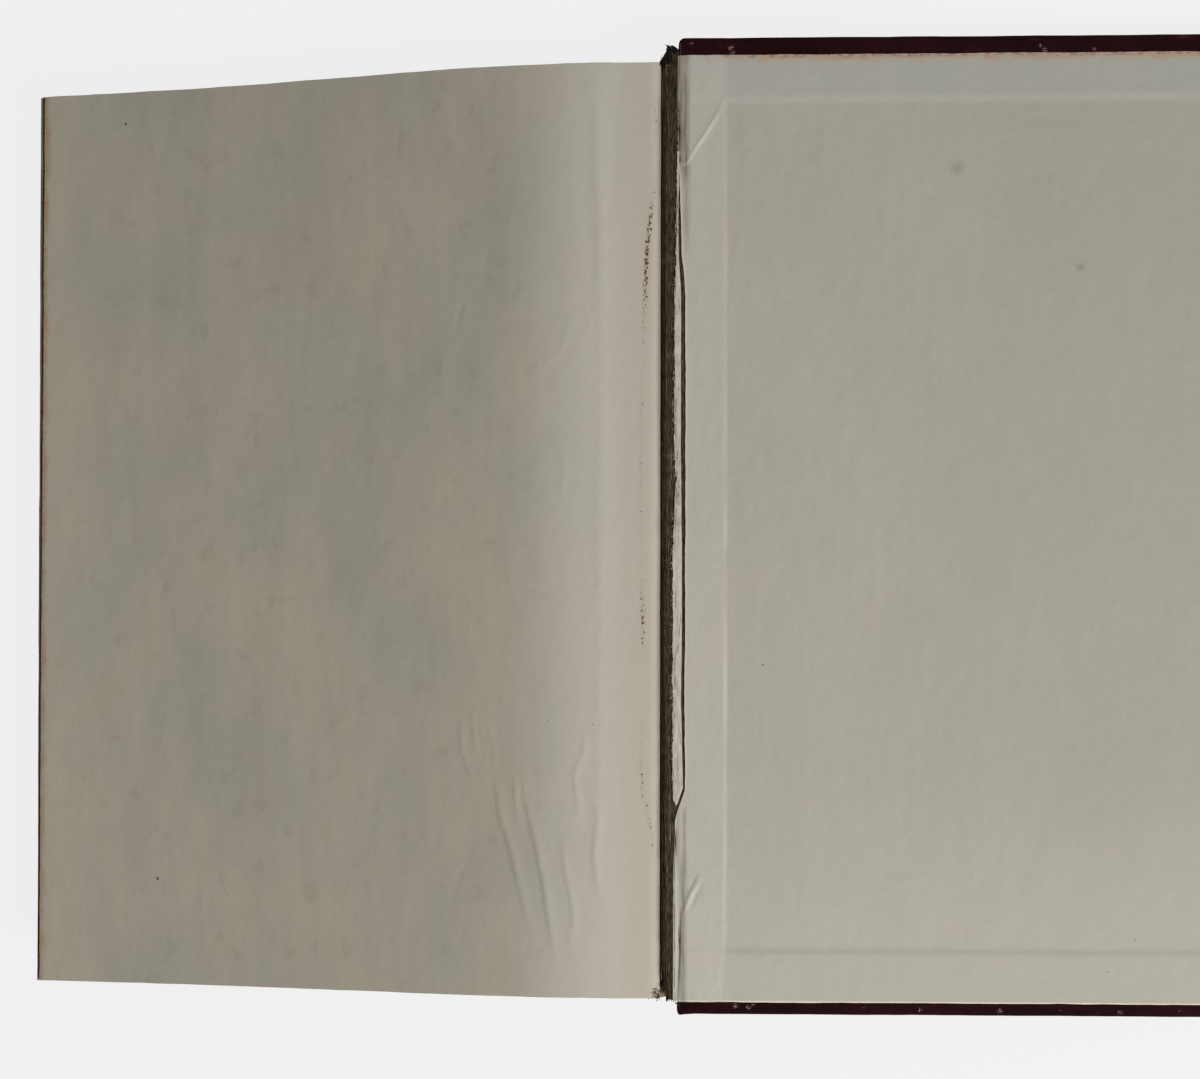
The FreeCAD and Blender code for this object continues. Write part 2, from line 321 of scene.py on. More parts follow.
class Shader:
    """A material's nodes, made and joined by short calls."""

    def __init__(self, name, place="place"):
        self.material = bpy.data.materials.new(name)
        self.material.use_nodes = True
        self.tree = self.material.node_tree
        self.tree.nodes.clear()
        self.surface = self.add("ShaderNodeBsdfPrincipled")
        out = self.add("ShaderNodeOutputMaterial")
        self.tree.links.new(self.surface.outputs[0], out.inputs["Surface"])
        if place:
            self.place = self.add("ShaderNodeAttribute", attribute_name=place).outputs["Vector"]
        else:
            # The solids have no such attribute: their own coordinates are metres
            own = self.add("ShaderNodeTexCoord").outputs["Object"]
            inputs = {"Vector": own, "Scale": (1 / MM,) * 3}
            self.place = self.add("ShaderNodeMapping", inputs).outputs[0]

    def add(self, kind, inputs=None, **settings):
        node = self.tree.nodes.new(kind)
        for key, value in settings.items():
            setattr(node, key, value)
        self.set(node, inputs or {})
        return node

    def set(self, node, inputs):
        for key, value in inputs.items():
            if isinstance(value, bpy.types.NodeSocket):
                self.tree.links.new(value, node.inputs[key])
            else:
                node.inputs[key].default_value = value

    def noise(self, scale, detail=2.0, stretch=(1, 1, 1), shift=0.0):
        """Noise whose features are about 1/scale mm, times the stretch."""
        inputs = {"Vector": self.place, "Scale": tuple(scale / s for s in stretch), "Location": (shift,) * 3}
        vector = self.add("ShaderNodeMapping", inputs).outputs[0]
        return self.add("ShaderNodeTexNoise", {"Vector": vector, "Scale": 1.0, "Detail": detail}).outputs[0]

    def attribute(self, name):
        return self.add("ShaderNodeAttribute", attribute_name=name).outputs["Fac"]

    def axis(self, letter):
        return self.add("ShaderNodeSeparateXYZ", {0: self.place}).outputs[letter]

    def ramp(self, value, low, high, to=(0.0, 1.0)):
        inputs = {"Value": value, "From Min": low, "From Max": high, "To Min": to[0], "To Max": to[1]}
        return self.add("ShaderNodeMapRange", inputs, interpolation_type="SMOOTHSTEP").outputs[0]

    def math(self, operation, a, b=0.0):
        return self.add("ShaderNodeMath", {0: a, 1: b}, operation=operation).outputs[0]

    def times(self, a, b):
        return self.math("MULTIPLY", a, b)

    def plus(self, a, b):
        return self.math("ADD", a, b)

    def vector(self, operation, a, b, out="Vector"):
        return self.add("ShaderNodeVectorMath", {0: a, 1: b}, operation=operation).outputs[out]

    def mix(self, factor, a, b, blend="MIX"):
        inputs = {0: factor, 6: a, 7: b}
        return self.add("ShaderNodeMix", inputs, data_type="RGBA", blend_type=blend).outputs[2]

    def stain(self, base, where, share, tone):
        """Another tone over the base, at a share of its mask."""
        return self.mix(self.times(where, share), base, colour(*tone))

    def grade(self, base, value):
        """The base made lighter or darker by a value round 1."""
        grey = self.add("ShaderNodeCombineXYZ", {0: value, 1: value, 2: value}).outputs[0]
        return self.mix(1.0, base, grey, "MULTIPLY")

    def spots(self, points, outer=1.3, inner=0.5):
        """Small marks at (x, y, radius) places, with uneven outlines."""
        inputs = {"Vector": self.place, "Scale": 1.6, "Detail": 2.0}
        wobble = self.add("ShaderNodeTexNoise", inputs).outputs["Color"]
        moved = self.vector("SUBTRACT", wobble, (0.5, 0.5, 0.5))
        where = self.vector("ADD", self.vector("MULTIPLY", self.place, (1, 1, 0)), moved)
        total = None
        for x, y, radius in points:
            gap = self.vector("DISTANCE", where, (x, y, 0), "Value")
            mark = self.ramp(gap, radius * outer, radius * inner)
            total = mark if total is None else self.math("MAXIMUM", total, mark)
        return total

    def bump(self, height, distance, under=None, strength=1.0):
        inputs = {"Height": height, "Distance": distance * MM, "Strength": strength}
        if under is not None:
            inputs["Normal"] = under
        return self.add("ShaderNodeBump", inputs).outputs[0]

    def finish(self, **inputs):
        names = {k.replace("_", " ").title().replace("Ior", "IOR"): v for k, v in inputs.items()}
        self.set(self.surface, names)
        return self.material


def paper(name, tone, shade, warm, stains=None, place="place"):
    """Old endpaper: mottled, faintly streaked and cloudy, with a soft tooth."""
    s = Shader(name, place)
    cloud = s.ramp(s.noise(0.03, 4.0, (1, 1.6, 1)), 0.3, 0.7)
    base = s.mix(cloud, colour(*shade), colour(*tone))
    blush = s.ramp(s.noise(0.05, 3.0, (1, 1.5, 1), 31.0), 0.42, 0.75)
    base = s.stain(base, blush, 0.35, warm)
    streak = s.ramp(s.noise(0.4, 3.0, (1, 7, 1), 7.0), 0.3, 0.7, (0.982, 1.018))
    fibre = s.ramp(s.noise(2.6, 3.0, (1, 1.6, 1), 3.0), 0.25, 0.75, (0.965, 1.03))
    value = s.times(streak, fibre)
    base = s.grade(base, value)
    if stains:
        base = stains(s, base)
    coarse = s.noise(0.42, 2.0, (1, 1.2, 1), 5.0)
    tooth = s.plus(s.times(s.noise(2.2, 3.0), 0.5), s.times(coarse, 1.3))
    normal = s.bump(tooth, 0.09)
    return s.finish(base_color=base, roughness=0.82, specular_ior_level=0.22, normal=normal)


LEAF_PAINTED_LIGHT = (178, 173, 161)  # painted light: the leaf near the gutter, painted lighter where it curves up towards the lamp


# Single marks on the open leaf: from the gutter, up and size
LEAF_MARKS = (
    (145.3, 111.4, 0.35), (135.1, -91.8, 0.4), (28.6, -48.9, 0.22), (36.4, -54.6, 0.22), (17.0, -50.0, 0.2),
)


def leaf_stains(s, base):
    """The open leaf: painted light near the gutter, a stained fore edge with a painted shadow line, rubbed
    specks along the gutter, a few single marks.
    """
    x = s.axis(0)
    blots = s.times(s.ramp(s.noise(0.2, 3.0, (1, 1.5, 1), 51.0), 0.56, 0.72), 0.3)
    base = s.mix(blots, base, colour(132, 126, 112))
    # Painted light: the leaf lighter towards the gutter, where it curves up towards the lamp
    gutter_light = s.ramp(x, 44.0, 10.0)
    base = s.stain(base, gutter_light, 0.9, LEAF_PAINTED_LIGHT)
    blush = s.times(s.ramp(x, 12.0, 7.0), 0.3)
    base = s.mix(blush, base, colour(168, 156, 143))
    # Painted light: paler within a few millimetres of the gutter, lifting the shade that the joint casts on
    # the leaf
    near = s.ramp(x, 3.6, 0.2)
    base = s.stain(base, near, 0.7, (204, 196, 182))
    # Partly the pale torn edge, partly a painted highlight where the leaf's gutter edge faces the lamp
    edge = s.ramp(x, 0.45, 0.12)
    base = s.stain(base, edge, 0.8, (224, 215, 196))
    fore = s.times(s.ramp(x, 135.0, 166.0), 0.3)
    base = s.mix(fore, base, colour(168, 160, 144))
    ragged = s.times(s.noise(0.35, 3.0, (1, 2.5, 1), 9.0), 3.4)
    rust = s.ramp(s.plus(x, ragged), 168.3, 170.4)
    base = s.stain(base, rust, 0.75, (139, 112, 82))
    blot = s.ramp(s.noise(1.1, 2.0, (1, 1.4, 1), 17.0), 0.55, 0.72)
    blotch = s.times(s.ramp(x, 167.0, 168.6), blot)
    base = s.stain(base, blotch, 0.6, (120, 74, 58))
    # A dark line at the fore edge: partly dye stain, partly painted shadow of the gap under the leaf's edge
    rim = s.ramp(s.plus(x, s.times(s.noise(0.8, 2.0, (1, 2, 1), 2.0), 0.3)), 168.62, 168.8)
    base = s.mix(rim, base, colour(31, 13, 9))
    fine = s.noise(1.9, 2.0, (1, 1.5, 1), 41.0)
    gate = s.times(s.attribute("speck"), 0.42)
    specks = s.ramp(s.plus(fine, gate), 0.84, 0.9)
    base = s.mix(specks, base, colour(74, 46, 30))
    haze = s.times(s.attribute("speck"), 0.16)
    base = s.mix(haze, base, colour(150, 116, 84))
    single = s.spots(LEAF_MARKS)
    base = s.stain(base, single, 0.85, (62, 50, 38))
    pink = s.spots([(153.2, -46.7, 8.0), (150.0, -40.0, 6.0)], 1.2, 0.0)
    return s.stain(base, pink, 0.18, (160, 128, 116))


def paste_stains(s, base):
    """The pastedown: dye from the cloth along its head, a pale cut edge at its tail, soft smudges, painted
    light towards the tail, painted shade at the head and in the joint, and painted highlights on its folds.
    """
    y = s.axis(1)
    x = s.axis(0)
    away = s.times(s.ramp(x, 20.0, 120.0), 0.4)
    base = s.mix(away, base, colour(147, 143, 132))
    # Painted light: the pastedown lighter towards the tail, the side the light comes from
    low = s.times(s.ramp(y, -55.0, -110.0), 0.3)
    base = s.mix(low, base, colour(178, 173, 162))
    ragged = s.times(s.noise(0.5, 4.0, (2.2, 1, 1), 13.0), 3.2)
    rust = s.ramp(s.plus(y, ragged), 119.4, 121.1)
    far = s.ramp(x, 8.0, 34.0, (0.35, 0.9))
    base = s.mix(s.times(rust, far), base, colour(172, 120, 76))
    blot = s.ramp(s.noise(0.9, 3.0, (1.6, 1, 1), 23.0), 0.46, 0.6)
    dark = s.times(blot, s.ramp(s.plus(y, s.noise(0.9, 2.0, (1, 1, 1), 3.0)), 119.3, 120.3))
    base = s.stain(base, dark, 0.85, (96, 44, 38))
    # Painted shade: a darker, cooler band along the head, where the lamp's light falls off
    head_shade = s.ramp(y, 107.5, 109.5)
    base = s.stain(base, head_shade, 0.4, (156, 159, 153))
    lip = s.ramp(y, -119.55, -119.8)
    base = s.stain(base, lip, 0.8, (214, 204, 184))
    hinge = s.ramp(s.plus(x, s.noise(0.2, 2.0, (1, 2, 1), 6.0)), 16.3, 14.2)
    base = s.stain(base, hinge, 0.36, (182, 177, 166))
    # Painted shade with some dirt: grey streaked bands and dark crease lines where the endpaper bends down
    # into the joint
    shade_and_dirt = s.times(s.attribute("shade_and_dirt"), s.ramp(s.noise(1.6, 3.0, (1, 12, 1), 3.0), 0.25, 0.7, (0.34, 0.8)))
    base = s.mix(shade_and_dirt, base, colour(100, 93, 80))
    # Painted highlights on the tops of folds and on the mull's edge, the folds partly rubbed pale too
    base = s.stain(base, s.attribute("crease"), 0.6, (212, 207, 194))
    smudge = s.spots([(73.4, 91.1, 2.4), (104.3, 65.8, 1.4)], 1.3, 0.0)
    base = s.stain(base, smudge, 0.35, (112, 106, 92))
    speck = s.spots([(24.5, -34.8, 0.22), (118.0, -104.0, 0.2), (111.0, -112.0, 0.18)])
    base = s.mix(speck, base, colour(70, 58, 44))
    torn = s.times(s.attribute("torn"), 0.75)
    return s.mix(torn, base, colour(196, 188, 170))


def strip_stains(s, base):
    """The torn strip: paler, with a fluffy torn edge."""
    pale = s.ramp(s.noise(0.9, 3.0, (1, 3, 1), 19.0), 0.35, 0.7)
    base = s.stain(base, pale, 0.6, (192, 187, 175))
    brown = s.ramp(s.noise(0.45, 3.0, (1, 2, 1), 29.0), 0.6, 0.75)
    return s.stain(base, brown, 0.5, (128, 112, 90))


def page_edges():
    """Cut edges of many leaves: layered tone, dust and sprinkled dye."""
    s = Shader("page_edges")
    leaves = s.noise(4.5, 2.0, (30, 60, 1), 3.0)
    tone = s.mix(s.ramp(leaves, 0.3, 0.7), colour(112, 96, 78), colour(166, 154, 134))
    dust = s.ramp(s.noise(0.08, 3.0, (1, 1, 1), 12.0), 0.4, 0.7)
    tone = s.stain(tone, dust, 0.5, (120, 104, 88))
    inputs = {"Vector": s.place, "Scale": 0.9, "Randomness": 1.0}
    drops = s.add("ShaderNodeTexVoronoi", inputs).outputs["Distance"]
    small = s.ramp(s.plus(drops, s.times(s.noise(2.5, 2.0, (1, 1, 1), 6.0), 0.5)), 0.52, 0.44)
    tone = s.stain(tone, small, 0.75, (74, 46, 52))
    normal = s.bump(leaves, 0.12)
    return s.finish(base_color=tone, roughness=0.85, specular_ior_level=0.2, normal=normal)


# Scuffed places on the covers' turned-in cloth: across, up and size
SCUFFS = (
    (6.2, 123.3, 0.7), (16.2, 122.0, 0.8), (16.6, 120.7, 0.7), (94.4, 121.8, 0.6), (95.4, 120.8, 0.7),
    (107.8, 121.0, 0.5), (17.6, -121.1, 0.7), (20.9, -121.6, 0.8), (22, -120.8, 0.5), (64.2, -121.8, 0.6),
    (84.2, -121.9, 0.7), (99.3, -122.1, 0.6), (114.3, -122.2, 0.7), (129.2, -122, 0.6), (50, -121.6, 0.4),
)


def bookcloth(name, place="place"):
    """Dark red cloth, rubbed at its edges and dusted with pale scuffs."""
    s = Shader(name, place)
    x, y, z = (s.axis(k) for k in range(3))
    pitch = 2 * math.pi / 0.46
    threads = [s.math("SINE", s.times(c, pitch)) for c in (x, y, z)]
    weave = s.plus(s.times(threads[0], threads[1]), s.times(threads[2], 0.5))
    cloud = s.ramp(s.noise(0.05, 4.0), 0.35, 0.65)
    base = s.mix(cloud, colour(25, 4, 7), colour(36, 7, 11))
    grain = s.ramp(s.noise(2.8, 2.0), 0.3, 0.7, (0.75, 1.3))
    base = s.grade(base, grain)
    rub = s.ramp(s.noise(0.16, 5.0, (1.8, 1, 1), 8.0), 0.6, 0.78)
    base = s.stain(base, rub, 0.35, (84, 44, 44))
    fleck = s.ramp(s.plus(s.noise(0.8, 4.0, (1.5, 1, 1), 15.0), s.times(rub, 0.12)), 0.745, 0.8)
    base = s.stain(base, fleck, 0.8, (168, 136, 130))
    scuffs = s.spots(SCUFFS, 1.2, 0.3)
    broken = s.ramp(s.noise(3.6, 3.0, (1.4, 1, 1), 33.0), 0.5, 0.62)
    base = s.mix(s.times(scuffs, broken), base, colour(178, 146, 142))
    rough = s.ramp(s.noise(0.3, 3.0, (1, 1, 1), 4.0), 0.3, 0.7, (0.6, 0.78))
    normal = s.bump(weave, 0.05, s.bump(s.noise(1.2, 3.0, (1, 1, 1), 2.0), 0.12))
    return s.finish(base_color=base, roughness=rough, specular_ior_level=0.06, normal=normal)


def fibres(name, dark, light, place="place", scale=1.0):
    """Glued, brown, fibrous stuff: mull, its threads, card and lining."""
    s = Shader(name, place)
    long_fibres = s.noise(2.4 * scale, 3.0, (1, 6, 1), 5.0)
    patches = s.noise(0.25 * scale, 3.0, (1, 2, 1), 9.0)
    tone = s.mix(s.ramp(long_fibres, 0.35, 0.68), colour(*dark), colour(*light))
    tone = s.stain(tone, s.ramp(patches, 0.5, 0.7), 0.5, dark)
    normal = s.bump(long_fibres, 0.25)
    return s.finish(base_color=tone, roughness=0.88, specular_ior_level=0.1, normal=normal)


leaf_paper = paper("leaf_paper", (153, 147, 133), (144, 140, 129), (156, 143, 130), leaf_stains)
paste_paper = paper("paste_paper", (163, 159, 148), (159, 156, 145), (166, 156, 146), paste_stains)
torn_paper = paper("torn_paper", (170, 165, 153), (156, 151, 139), (160, 150, 137), strip_stains)
plain_paper = paper("plain_paper", (168, 162, 147), (158, 152, 137), (166, 150, 134))
edge_paper = page_edges()
cloth = bookcloth("bookcloth")
# Partly the brown of glued mull, partly painted shade: dark enough to stand for the shade deep in the joint's
# crack
mull_glue_and_shade = fibres("mull_glue_and_shade", (38, 30, 21), (78, 67, 49))
mull_thread = fibres("mull_thread", (60, 50, 38), (112, 98, 76))
pale_thread = fibres("pale_thread", (128, 118, 98), (176, 168, 150))
torn_fluff = fibres("torn_fluff", (158, 151, 137), (204, 198, 186))
joint_cloth = fibres("joint_cloth", (13, 9, 7), (36, 27, 20))
joint_inner = fibres("joint_inner", (32, 25, 18), (70, 60, 44))
card = fibres("spine_card", (92, 84, 72), (140, 130, 112), None, 0.6)
lining = fibres("spine_lining", (100, 78, 52), (140, 114, 80), None, 0.5)
debris_brown = fibres("debris_brown", (66, 40, 30), (124, 88, 70))


# The text block
LEAVES = 84  # leaves told apart at the edges of the text block
LEAF_FAN = 0.8  # the uppermost leaves are drawn back by this, so that the lower ones show past them
FAN_FROM = 0.95  # from this share of the height
WRINKLES = (
    (((42.1, -63.1), (40.8, -73.4), (38.1, -82.1), (35.5, -92.4), (33.1, -102.9)), 1.0, 0.4),
    (((33.6, -68), (33.2, -73.3), (31.1, -82), (29.3, -91.5), (28, -100.2), (26.7, -110)), 1.05, 0.5),
    (((24.6, -80), (24.1, -87.1), (22.3, -95), (21.6, -100.1), (23.3, -106)), 0.9, 0.36),
    (((17.6, -68), (15.5, -73), (16.7, -83.7), (15.2, -94)), 1.0, 0.3),
    (((37.1, -62.7), (36.9, -70), (35.5, -76.2)), 0.7, 0.26),
    (((35.2, -63), (34.6, -69), (33.2, -74)), 0.6, 0.16),
    (((51.5, -49.2), (51, -57), (48.3, -64.2)), 0.8, 0.24),
    (((48.4, -47.5), (47.4, -57.4)), 0.6, 0.18),
    (((19.2, -52), (19.3, -56.8), (21.9, -63), (20.3, -74.2)), 0.7, 0.26),
    (((44.5, -50), (42.5, -56), (42.3, -62)), 0.6, 0.14),
    (((38.5, -110), (31.8, -107.2), (27.5, -105.7)), 0.6, -0.16),
    (((88.4, 40), (80, 41.4), (70.8, 43.5)), 0.7, -0.07),
    (((59.9, 48.5), (38, 53.6), (15.5, 58.9)), 0.7, -0.08),
    (((48.2, -82.6), (51.8, -89.3), (53.9, -96.6)), 0.5, -0.13),
    (((87.4, 73.5), (92.9, 68.5)), 0.9, -0.12),
    (((21.1, 57.4), (25.7, 46.2), (33.9, 38.9)), 0.7, 0.13),
    (((53.4, 52.5), (50.9, 59.6)), 0.5, -0.16),
    (((19.5, 58.4), (18, 51.3), (22.4, 46.4)), 0.6, 0.15),
    (((45.6, 68.5), (44.3, 72)), 0.5, -0.12),
    (((61, -20), (57.5, -31), (59, -44)), 0.8, 0.1),
    (((72, 88), (69, 80), (70.5, 71)), 0.8, 0.1),
    (((27.5, 26), (24.6, 17), (25.4, 6)), 0.7, 0.11),
)


def cockle(d, y):
    """Broad upright waves of damp paper."""
    drift = 6 * layered(d / 60, y / 70, 5, 2)
    waves = 0.26 * layered((d + drift) / 11, y / 60, 11, 2)
    waves += 0.14 * layered((d + drift) / 5.5, y / 26, 51, 2)
    return waves * smooth(d / 14) * (0.65 + 0.35 * smooth((d - 120) / 40))


def leaf_relief(d, y):
    """How far the open leaf stands off its plain curve."""
    z = cockle(d, y) + 0.3
    z = z + 0.05 * layered(d / 2.6, y / 4.5, 71, 2) * smooth(d / 6)
    for line, width, height in WRINKLES:
        z = z + fold(d, y, line, width, height)
    z = z + ridge(d, y, ((15.6, 116), (15.2, 20), (15.4, -112)), 1.6, 0.2)
    z = z + ridge(d, y, ((16.8, 117), (16, 95), (14.7, 58)), 1.9, 0.34)
    z = z + ridge(d, y, ((12.2, 112), (11.4, 84)), 1.3, -0.12)
    z = z + ridge(d, y, ((150, 34), (150.4, -40), (150, -112)), 0.7, -0.12)
    lip = 0.4 * (1 - smooth(d / 3.5))
    return z * smooth(d / 4) + lip + 0.02


def gutter_specks(d, y):
    """Where the leaf is rubbed and specked beside the gutter."""
    top = ((2.3, 113), (1.1, 104), (1.3, 95))
    line = ((0.8, 94), (1.6, 88), (2.5, 80.7), (3.3, 74.3), (3.8, 64), (4.5, 47))
    thin = ((4.2, 54), (5.0, 25.5), (4.9, -5.3), (4.8, -18))
    dense = ((4.6, -12), (4.5, -22), (4.3, -35))
    low = ((4.1, -41.2), (4.8, -59.1), (4.4, -69.3), (3.0, -71), (1.7, -82.1), (0.3, -94))
    return (
        ridge(d, y, top, 0.5, 0.7)
        + ridge(d, y, line, 0.85, 1.0)
        + ridge(d, y, thin, 0.5, 0.62)
        + ridge(d, y, dense, 0.8, 0.85)
        + ridge(d, y, low, 0.5, 0.72)
    )


def make_flyleaf():
    stretches = ((0, 8, 0.4), (8, 56, 0.5), (56, 165, 1.5), (165, 169.01, 0.4))
    columns = np.concatenate([np.arange(*stretch) for stretch in stretches])
    share = columns / columns[-1]
    rows = np.linspace(-1, 1, 215)
    t, g = np.meshgrid(share, rows)
    width = PAGE_WIDTH - LEAF_SHORT_TAIL + (LEAF_SHORT_TAIL - LEAF_SHORT_HEAD) * (g + 1) / 2
    width = width + 0.06 * layered(g * 40, 0.5, 81, 2)
    d = t * width
    d = d + 0.1 * layered(g * 9, 3.5, 83, 3) * (1 - smooth(t * 40))
    round_off = 0.45 * (1 - smooth((width - d) / 1.6))
    edge = HALF_PAGE - 0.1 + 0.1 * layered(d / 9, g * 2, 85, 3) - round_off
    y = g * edge
    top = BLOCK_HIGH + swell(d) + LEAF_THICK + leaf_relief(d, y)
    local = np.stack([t * (PAGE_WIDTH - LEAF_SHORT_TAIL), y, d * 0], -1)
    part = sheet(on_block(-d, y, top), on_block(-d, y, top - LEAF_THICK), local)
    marks = {"speck": gutter_specks}
    return piece(
        "flyleaf_back", [part], "book_block", leaf_paper, ["back_flyleaf"], marks=marks
    )


def make_pages():
    rows, cols = 61, 47
    rim = boundary(rows, cols)
    across, up = np.meshgrid(np.linspace(0, 1, cols), np.linspace(-1, 1, rows))
    f, g = across.ravel(), up.ravel()
    levels, outs, grooves = [], [], []
    rng = np.random.default_rng(3)
    for k in range(LEAVES):
        gathering = 0.12 * math.sin(k * 0.8) * (k % 8 == 0)
        out = 0.1 * rng.normal() + gathering
        levels += [(k + e) / LEAVES for e in (0.0, 0.2, 0.8)]
        outs += [out] * 3
        grooves += [0.16, 0.0, 0.0]
    levels.append(1.0)
    outs.append(outs[-1])
    grooves.append(0.0)

    def at(f, g, t, out):
        below = min(t / FAN_FROM, 1.0)
        hollow = FORE_HOLLOW * (1 - (2 * below - 1) ** 2) + LEAF_FAN * smooth((t - FAN_FROM) / (1 - FAN_FROM))
        rise = (2 * t - 1) * BLOCK_THICK / 2
        bulge = math.sqrt(SPINE_RADIUS**2 - rise**2) - SPINE_RADIUS + SPINE_BULGE
        fore = PAGE_WIDTH - hollow + out * (f == 0)
        d = fore * (1 - f) - bulge * f
        y = g * (HALF_PAGE - 0.15) + np.sign(g) * out * (np.abs(g) == 1) * (f < 1)
        height = BLOCK_THICK + swell(np.clip(d, 0, PAGE_WIDTH)) + 0.2 * t
        relief = np.clip(cockle(np.clip(d, 0, PAGE_WIDTH), y), -0.3, 1) * t**6 * smooth(d / 14)
        z = BLOCK_LOW + t * height + relief * 0.9
        return on_block(-d, y, z), np.stack([d, y, t * BLOCK_THICK + 0 * d], -1)

    verts, local = [], []
    for k, (t, out, groove) in enumerate(zip(levels, outs, grooves)):
        round_rim = np.arange(len(rim))
        wave = 0.09 * noise(round_rim * 0.21, k * 0.37, 9) + 0.05 * noise(round_rim * 0.9, k, 19)
        p, q = at(f[rim], g[rim], t, out + wave - groove)
        verts.append(p)
        local.append(q)
    ring = len(rim)
    count = ring * len(levels)
    k = np.arange(count - ring).reshape(-1, ring)
    n = np.roll(k, -1, axis=1)
    faces = np.stack([k, n, n + ring, k + ring], -1).reshape(-1, 4).tolist()
    inner = np.setdiff1d(np.arange(rows * cols), rim)
    for t, out, first, flip in ((0.0, outs[0], 0, True), (1.0, outs[-1], count - ring, False)):
        index = np.empty(rows * cols, int)
        index[rim] = np.arange(first, first + ring)
        index[inner] = np.arange(count, count + len(inner))
        p, q = at(f[inner], g[inner], t, np.zeros(len(inner)))
        verts.append(p)
        local.append(q)
        count += len(inner)
        cap = index[grid_faces(rows, cols)]
        faces += (cap[:, ::-1] if flip else cap).tolist()
    part = (np.concatenate(verts), faces, np.concatenate(local))
    return piece("pages", [part], "book_block", edge_paper, ["text_block"], sharp=50)


def make_front_flyleaf():
    columns, rows = np.linspace(0, PAGE_WIDTH - 0.5, 80), np.linspace(-HALF_PAGE + 0.2, HALF_PAGE - 0.4, 80)
    d, y = np.meshgrid(columns, rows)
    wave = 0.02 * layered(d / 15, y / 40, 91, 2)
    edge = smooth(1 - np.minimum(PAGE_WIDTH - d, HALF_PAGE - np.abs(y)) / 6)
    low = BLOCK_LOW - LEAF_THICK + 0.02 * edge + np.abs(wave)
    local = flat(d, y)
    part = sheet(on_block(-d, y, low + 0.22), on_block(-d, y, low), local)
    return piece("flyleaf_front", [part], "book_block", plain_paper, ["front_flyleaf"])


# Papers of the covers
# Torn edges in the crack: up and across
TORN_EDGE = (
    (96.5, 2.7), (93.5, 2.95), (84, 3.35), (75, 3.65), (68, 3.95), (62, 4.6), (57.9, 4.8), (19.8, 4.8),
    (-28.5, 4.8), (-43.7, 4.55), (-57, 4.8), (-66.5, 4.85), (-71.6, 2.95), (-74, 2.3), (-89, 1.85),
)
STRIP_LEFT = (
    (95.6, 2.75), (75, 2.5), (68, 2.4), (58, 2.1), (40, 1.95), (19.8, 1.95), (12, 2.5), (2, 1.95),
    (-8, 1.7), (-40, 1.6), (-62, 1.7), (-69, 1.9), (-70.3, 2.5),
)
STRIP_RIGHT = (
    (95.6, 3.2), (84, 2.95), (75, 2.9), (68, 3.1), (62, 3.5), (58, 3.65), (20, 3.65), (12, 3.75),
    (2, 3.85), (-8, 3.95), (-28.5, 3.95), (-43.7, 3.75), (-66, 4.3), (-70.3, 2.8),
)


def follow(table, y):
    """Read a table of (y, value) from head to tail at any y."""
    ys, values = zip(*reversed(table))
    return np.interp(y, ys, values)


def torn_edge(y):
    """The pastedown's spine edge: lapped over at head and tail, torn between."""
    plain = follow(TORN_EDGE, y)
    inside = smooth((95 - y) / 6) * smooth((y + 72) / 6)
    fray = 0.16 * layered(y / 5, 0.3, 101, 3) + 0.1 * layered(y / 0.9, 0.7, 107, 2)
    return plain + fray * (0.25 + 0.75 * inside)


def paste_level(u, y, mull_end):
    """The pastedown's upper face over the board, the turn-ins and the mull."""
    step = 0.8
    turned = smooth((u - TURN_IN_U) / step + 0.5)
    turned = np.maximum(turned, smooth((y - TURN_IN_HEAD) / 2.6 + 0.5))
    turned = np.maximum(turned, smooth((TURN_IN_TAIL - y) / 1.6 + 0.5))
    on_mull = smooth((mull_end - u) / 0.9 + 0.5) * (1 - 0.75 * turned)
    rough = 0.35 + 0.65 * smooth((u - 100) / 50) + 0.4 * noise(u / 9, 0.2, 111)
    ridges = 0.13 * np.exp(-(((y - TURN_IN_TAIL - 0.3) / 0.8) ** 2)) * rough
    skin = 0.07 * layered(u / 2.0, y / 2.8, 121, 2) + 0.08 * layered(u / 8, y / 12, 127, 2)
    return LEAF_THICK + CLOTH_THICK * turned + (MULL_THICK + 0.06) * on_mull + ridges + skin + 0.08


def flap_drop(u, y):
    """How far the endpaper sinks into the joint where it isn't torn."""
    whole = smooth((y - 90) / 4) + 0.75 * smooth((-73 - y) / 6)
    on_board = 0.24 * smooth((5.8 - u) / 2.6)
    return whole * (on_board + 0.42 * np.clip(3.4 - u, 0, 1.2))


HEAD_CREASE = ((5.4, 93.0), (7.8, 97.0), (10.2, 100.4), (11.6, 102.8), (13.1, 105.5), (14.7, 110))


def back_paste_relief(u, y):
    """Creases and drooping flaps beside the joint."""
    z = ridge(u, y, HEAD_CREASE, 0.5, 0.34)
    z = z + ridge(u, y, ((4.9, -96.6), (6.6, -92.6), (8.9, -88.6)), 0.4, 0.3)
    z = z + ridge(u, y, ((5.9, -97.4), (7.4, -93.6), (9.4, -89.6)), 0.45, -0.22)
    z = z + ridge(u, y, ((3.9, -99.5), (5.6, -94.0), (6.4, -90.5)), 0.4, 0.22)
    z = z + ridge(u, y, ((3.4, -97), (3.5, -108), (3.1, -119.9)), 0.4, -0.2)
    z = z + ridge(u, y, ((2.4, -76), (2.5, -100), (2.4, -119.9)), 0.5, 0.3)
    return z - flap_drop(u, y)


